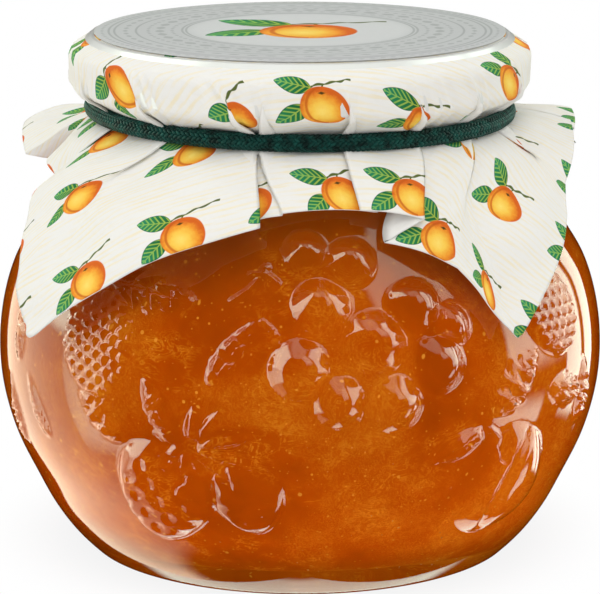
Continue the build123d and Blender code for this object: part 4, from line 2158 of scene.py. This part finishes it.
@dataclass(frozen=True)
class GlossCard:
    """A bright field of the surroundings that shows only in the gloss.

    Attributes:
        turns: Its two sides, in degrees from the front.
        climbs: Its lowest and highest edge, in degrees over the horizon.
        glows: Its brightness at its first and at its second side.
        softness: How soft its edges are, in degrees.
        tint: The colour of its light.
    """

    turns: tuple[float, float]
    climbs: tuple[float, float]
    glows: tuple[float, float]
    softness: float = 1.0
    tint: Colour = (0.82, 1.0, 0.85)


@dataclass
class Studio:
    """The floor, the white surroundings, the lamps and the camera.

    Attributes:
        floor_size: Side of the floor, in metres.
        room_light: How much light comes from all sides.
        focal_length: The camera's focal length, in millimetres.
        viewpoint: Where the camera stands, in metres.
        look_down: How far it looks down, in degrees.
        softboxes: The lamps.
        cards: What the gloss mirrors.
    """

    floor_size: float = 6.0
    room_light: float = 0.78
    focal_length: float = 182.86
    viewpoint: tuple[float, float, float] = (0.0, -0.54491, 0.17313)
    look_down: float = 13.33
    softboxes: tuple[Softbox, ...] = (
        Softbox("top_box", 14.0, 58.0, 1.3, (0.9, 0.9), 1.55),
        Softbox("left_box", -62.0, 26.0, 1.3, (0.8, 0.9), 0.8),
    )
    cards: tuple[GlossCard, ...] = (
        GlossCard((-148.0, -82.0), (-62.0, 8.0), (3.4, 1.0), 1.2, (0.96, 0.84, 0.62)),
        GlossCard((-140.0, -77.0), (2.0, 62.0), (6.5, 7.0), 1.2, (0.86, 1.0, 0.8)),
        GlossCard((-100.0, -76.0), (-34.0, 12.0), (2.6, 6.0), 2.0, (0.86, 1.0, 0.8)),
        GlossCard((120.0, 133.0), (-22.0, 50.0), (5.5, 5.5), 0.8),
        GlossCard((136.5, 146.0), (-22.0, 44.0), (4.4, 4.0), 0.7),
        GlossCard((84.0, 133.0), (-6.0, 58.0), (5.0, 5.5), 1.5),
        GlossCard((80.0, 106.0), (-46.0, -18.0), (4.5, 4.5), 1.2),
        GlossCard((36.0, 78.0), (32.0, 74.0), (2.8, 3.2), 2.5),
        GlossCard((-180.0, 180.0), (68.0, 90.0), (1.6, 1.6), 1.5),
        GlossCard((145.0, 184.0), (-83.0, -48.0), (3.0, 3.4), 1.2),
        GlossCard((-184.0, -145.0), (-83.0, -48.0), (3.4, 3.0), 1.2),
    )

    def build_floor(self) -> None:
        """Makes the white floor, which shows only a painted shadow round the jar and has a painted
        glow under it.
        """
        shell = Shell()
        half = self.floor_size / 2
        corners = [[(x, y, 0.0) for x in (-half, half)] for y in (-half, half)]
        shell.bands(shell.add(np.array(corners)), closed=False)
        floor = shell.finish("studio_floor")
        material, w = new_material("floor_white")
        white = (1.0, 1.0, 1.0)
        matt = w.node("ShaderNodeBsdfDiffuse", {"Color": (0.86, 0.86, 0.86)})
        # Painted light: under and round the jar the floor glows at 0.4 instead of reflecting, so that
        # it lights the jam's underside through the glass.
        table = w.node("ShaderNodeEmission", {"Color": white, "Strength": 0.4})
        glow = w.node("ShaderNodeEmission", {"Color": white, "Strength": 1.0})
        clear = w.node("ShaderNodeBsdfTransparent", {"Color": white})
        rays = w.node("ShaderNodeLightPath").outputs
        seen = w.larger(rays["Is Camera Ray"], rays["Is Transmission Ray"])
        x, y, _ = w.split(w.place())
        away = w.length(x, y)
        # Painted shadow: camera rays see a fixed darker ring round the jar, where up to a fifth of
        # the white glow gives way to the floor under it.
        shadow = w.times(w.fade(away, 0.034, 0.062), 0.2)
        shadow = w.times(shadow, rays["Is Camera Ray"])
        out = matt
        for share, other in (
            (w.fade(away, 0.035, 0.06), table),
            (w.times(seen, w.minus(1.0, shadow)), glow),
            (rays["Is Glossy Ray"], clear),
        ):
            inputs = {0: share, 1: out.outputs[0], 2: other.outputs[0]}
            out = w.node("ShaderNodeMixShader", inputs)
        w.node("ShaderNodeOutputMaterial", {"Surface": out.outputs[0]})
        floor.data.materials.append(material)

    @staticmethod
    def card_glow(w: Wiring, card: GlossCard, turn: Any, climb: Any) -> Any:
        """Works out how bright a card is in a direction.

        Args:
            w: The wiring to work in.
            card: The card.
            turn: The direction's turn from the front, in degrees.
            climb: The direction's height over the horizon, in degrees.

        Returns:
            The brightness, zero outside the card.
        """
        (near, far), (low, high), soft = card.turns, card.climbs, card.softness
        inside = w.times(w.ease(turn, near - soft, near + soft), w.ease(turn, far + soft, far - soft))
        inside = w.times(inside, w.ease(climb, low - 3 * soft, low + 3 * soft))
        inside = w.times(inside, w.ease(climb, high + 3 * soft, high - 3 * soft))
        places = {"Value": turn, "From Min": near, "From Max": far}
        inputs = {**places, "To Min": card.glows[0], "To Max": card.glows[1]}
        return w.times(inside, w.node("ShaderNodeMapRange", inputs).outputs[0])

    def build_world(self) -> None:
        """Makes the surroundings: white to look at, even for light, and darker in the gloss."""
        world = bpy.data.worlds.new("studio_world")
        bpy.context.scene.world = world
        world.use_nodes = True
        world.node_tree.nodes.clear()
        w = Wiring(world.node_tree)
        path = w.node("ShaderNodeLightPath")
        seen = w.larger(path.outputs["Is Camera Ray"], path.outputs["Is Transmission Ray"])
        direction = w.node("ShaderNodeTexCoord").outputs["Generated"]
        x, y, z = w.split(direction)
        round_jar = w.times(w.math("ARCTAN2", x, w.times(y, -1.0)), 180 / math.pi)
        climb = w.times(w.math("ARCSINE", z), 180 / math.pi)
        glows = [self.card_glow(w, card, round_jar, climb) for card in self.cards]
        rest = w.minus(1.0, w.larger(seen, path.outputs["Is Glossy Ray"]))
        even = w.plus(seen, w.times(rest, self.room_light))
        channels = []
        for channel in range(3):
            gloss: Any = 0.0
            for card, glow in zip(self.cards, glows):
                gloss = w.larger(gloss, w.times(glow, card.tint[channel]))
            channels.append(w.math("MULTIPLY_ADD", path.outputs["Is Glossy Ray"], gloss, even))
        ground = w.node("ShaderNodeBackground", {"Color": w.vector(*channels), "Strength": 1.0})
        w.node("ShaderNodeOutputWorld", {"Surface": ground.outputs[0]})

    def build_lamps(self) -> None:
        """Places the softboxes round the jar, each turned to face it."""
        target = Vector((0.0, 0.0, 0.045))
        for box in self.softboxes:
            lamp = bpy.data.lights.new(box.name, "AREA")
            lamp.shape = "RECTANGLE"
            lamp.size, lamp.size_y = box.size
            lamp.energy = box.glow * box.size[0] * box.size[1] * math.pi
            turn, rise = math.radians(box.turn), math.radians(box.rise)
            level = Vector((math.sin(turn), -math.cos(turn), 0.0)) * math.cos(rise)
            aim = level + Vector((0.0, 0.0, math.sin(rise)))
            holder = bpy.data.objects.new(box.name, lamp)
            holder.location = target + aim * box.away
            holder.rotation_euler = aim.to_track_quat("Z", "Y").to_euler()
            holder.visible_camera = False
            holder.visible_transmission = False
            holder.visible_glossy = False
            bpy.context.scene.collection.objects.link(holder)

    def build_camera(self) -> None:
        """Makes the camera, which looks slightly down at the jar."""
        lens = bpy.data.cameras.new("studio_camera")
        lens.sensor_width = 36.0
        lens.lens = self.focal_length
        camera = bpy.data.objects.new("studio_camera", lens)
        camera.location = self.viewpoint
        camera.rotation_euler = (math.radians(90.0 - self.look_down), 0.0, 0.0)
        bpy.context.scene.collection.objects.link(camera)
        bpy.context.scene.camera = camera

    def build(self) -> None:
        """Makes the whole studio."""
        self.build_floor()
        self.build_world()
        self.build_lamps()
        self.build_camera()
        bpy.context.scene.view_settings.view_transform = "Standard"


def report(piece: Piece) -> None:
    """Logs a piece's name and face count."""
    LOG.info("%s: %d faces", piece.name, len(piece.data.polygons))


def main() -> None:
    """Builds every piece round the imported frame."""
    logging.basicConfig(level=logging.INFO, format="%(message)s")
    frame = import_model()
    Studio().build()
    jar = GlassJar()
    glass = jar.build()
    jar.dress(glass)
    report(glass)
    fill = JamFill()
    jam = fill.build(jar)
    beads = fill.beads(jam)
    fill.dress(jam, beads)
    report(jam)
    report(beads)
    MetalLid().dress(frame["nodes"])
    cover_maker = PaperCover()
    cover = cover_maker.build()
    cover_maker.dress(cover)
    report(cover)
    for piece in ElasticCord().build():
        report(piece)
    report(TopLabel().build())


if __name__ == "__main__":
    main()
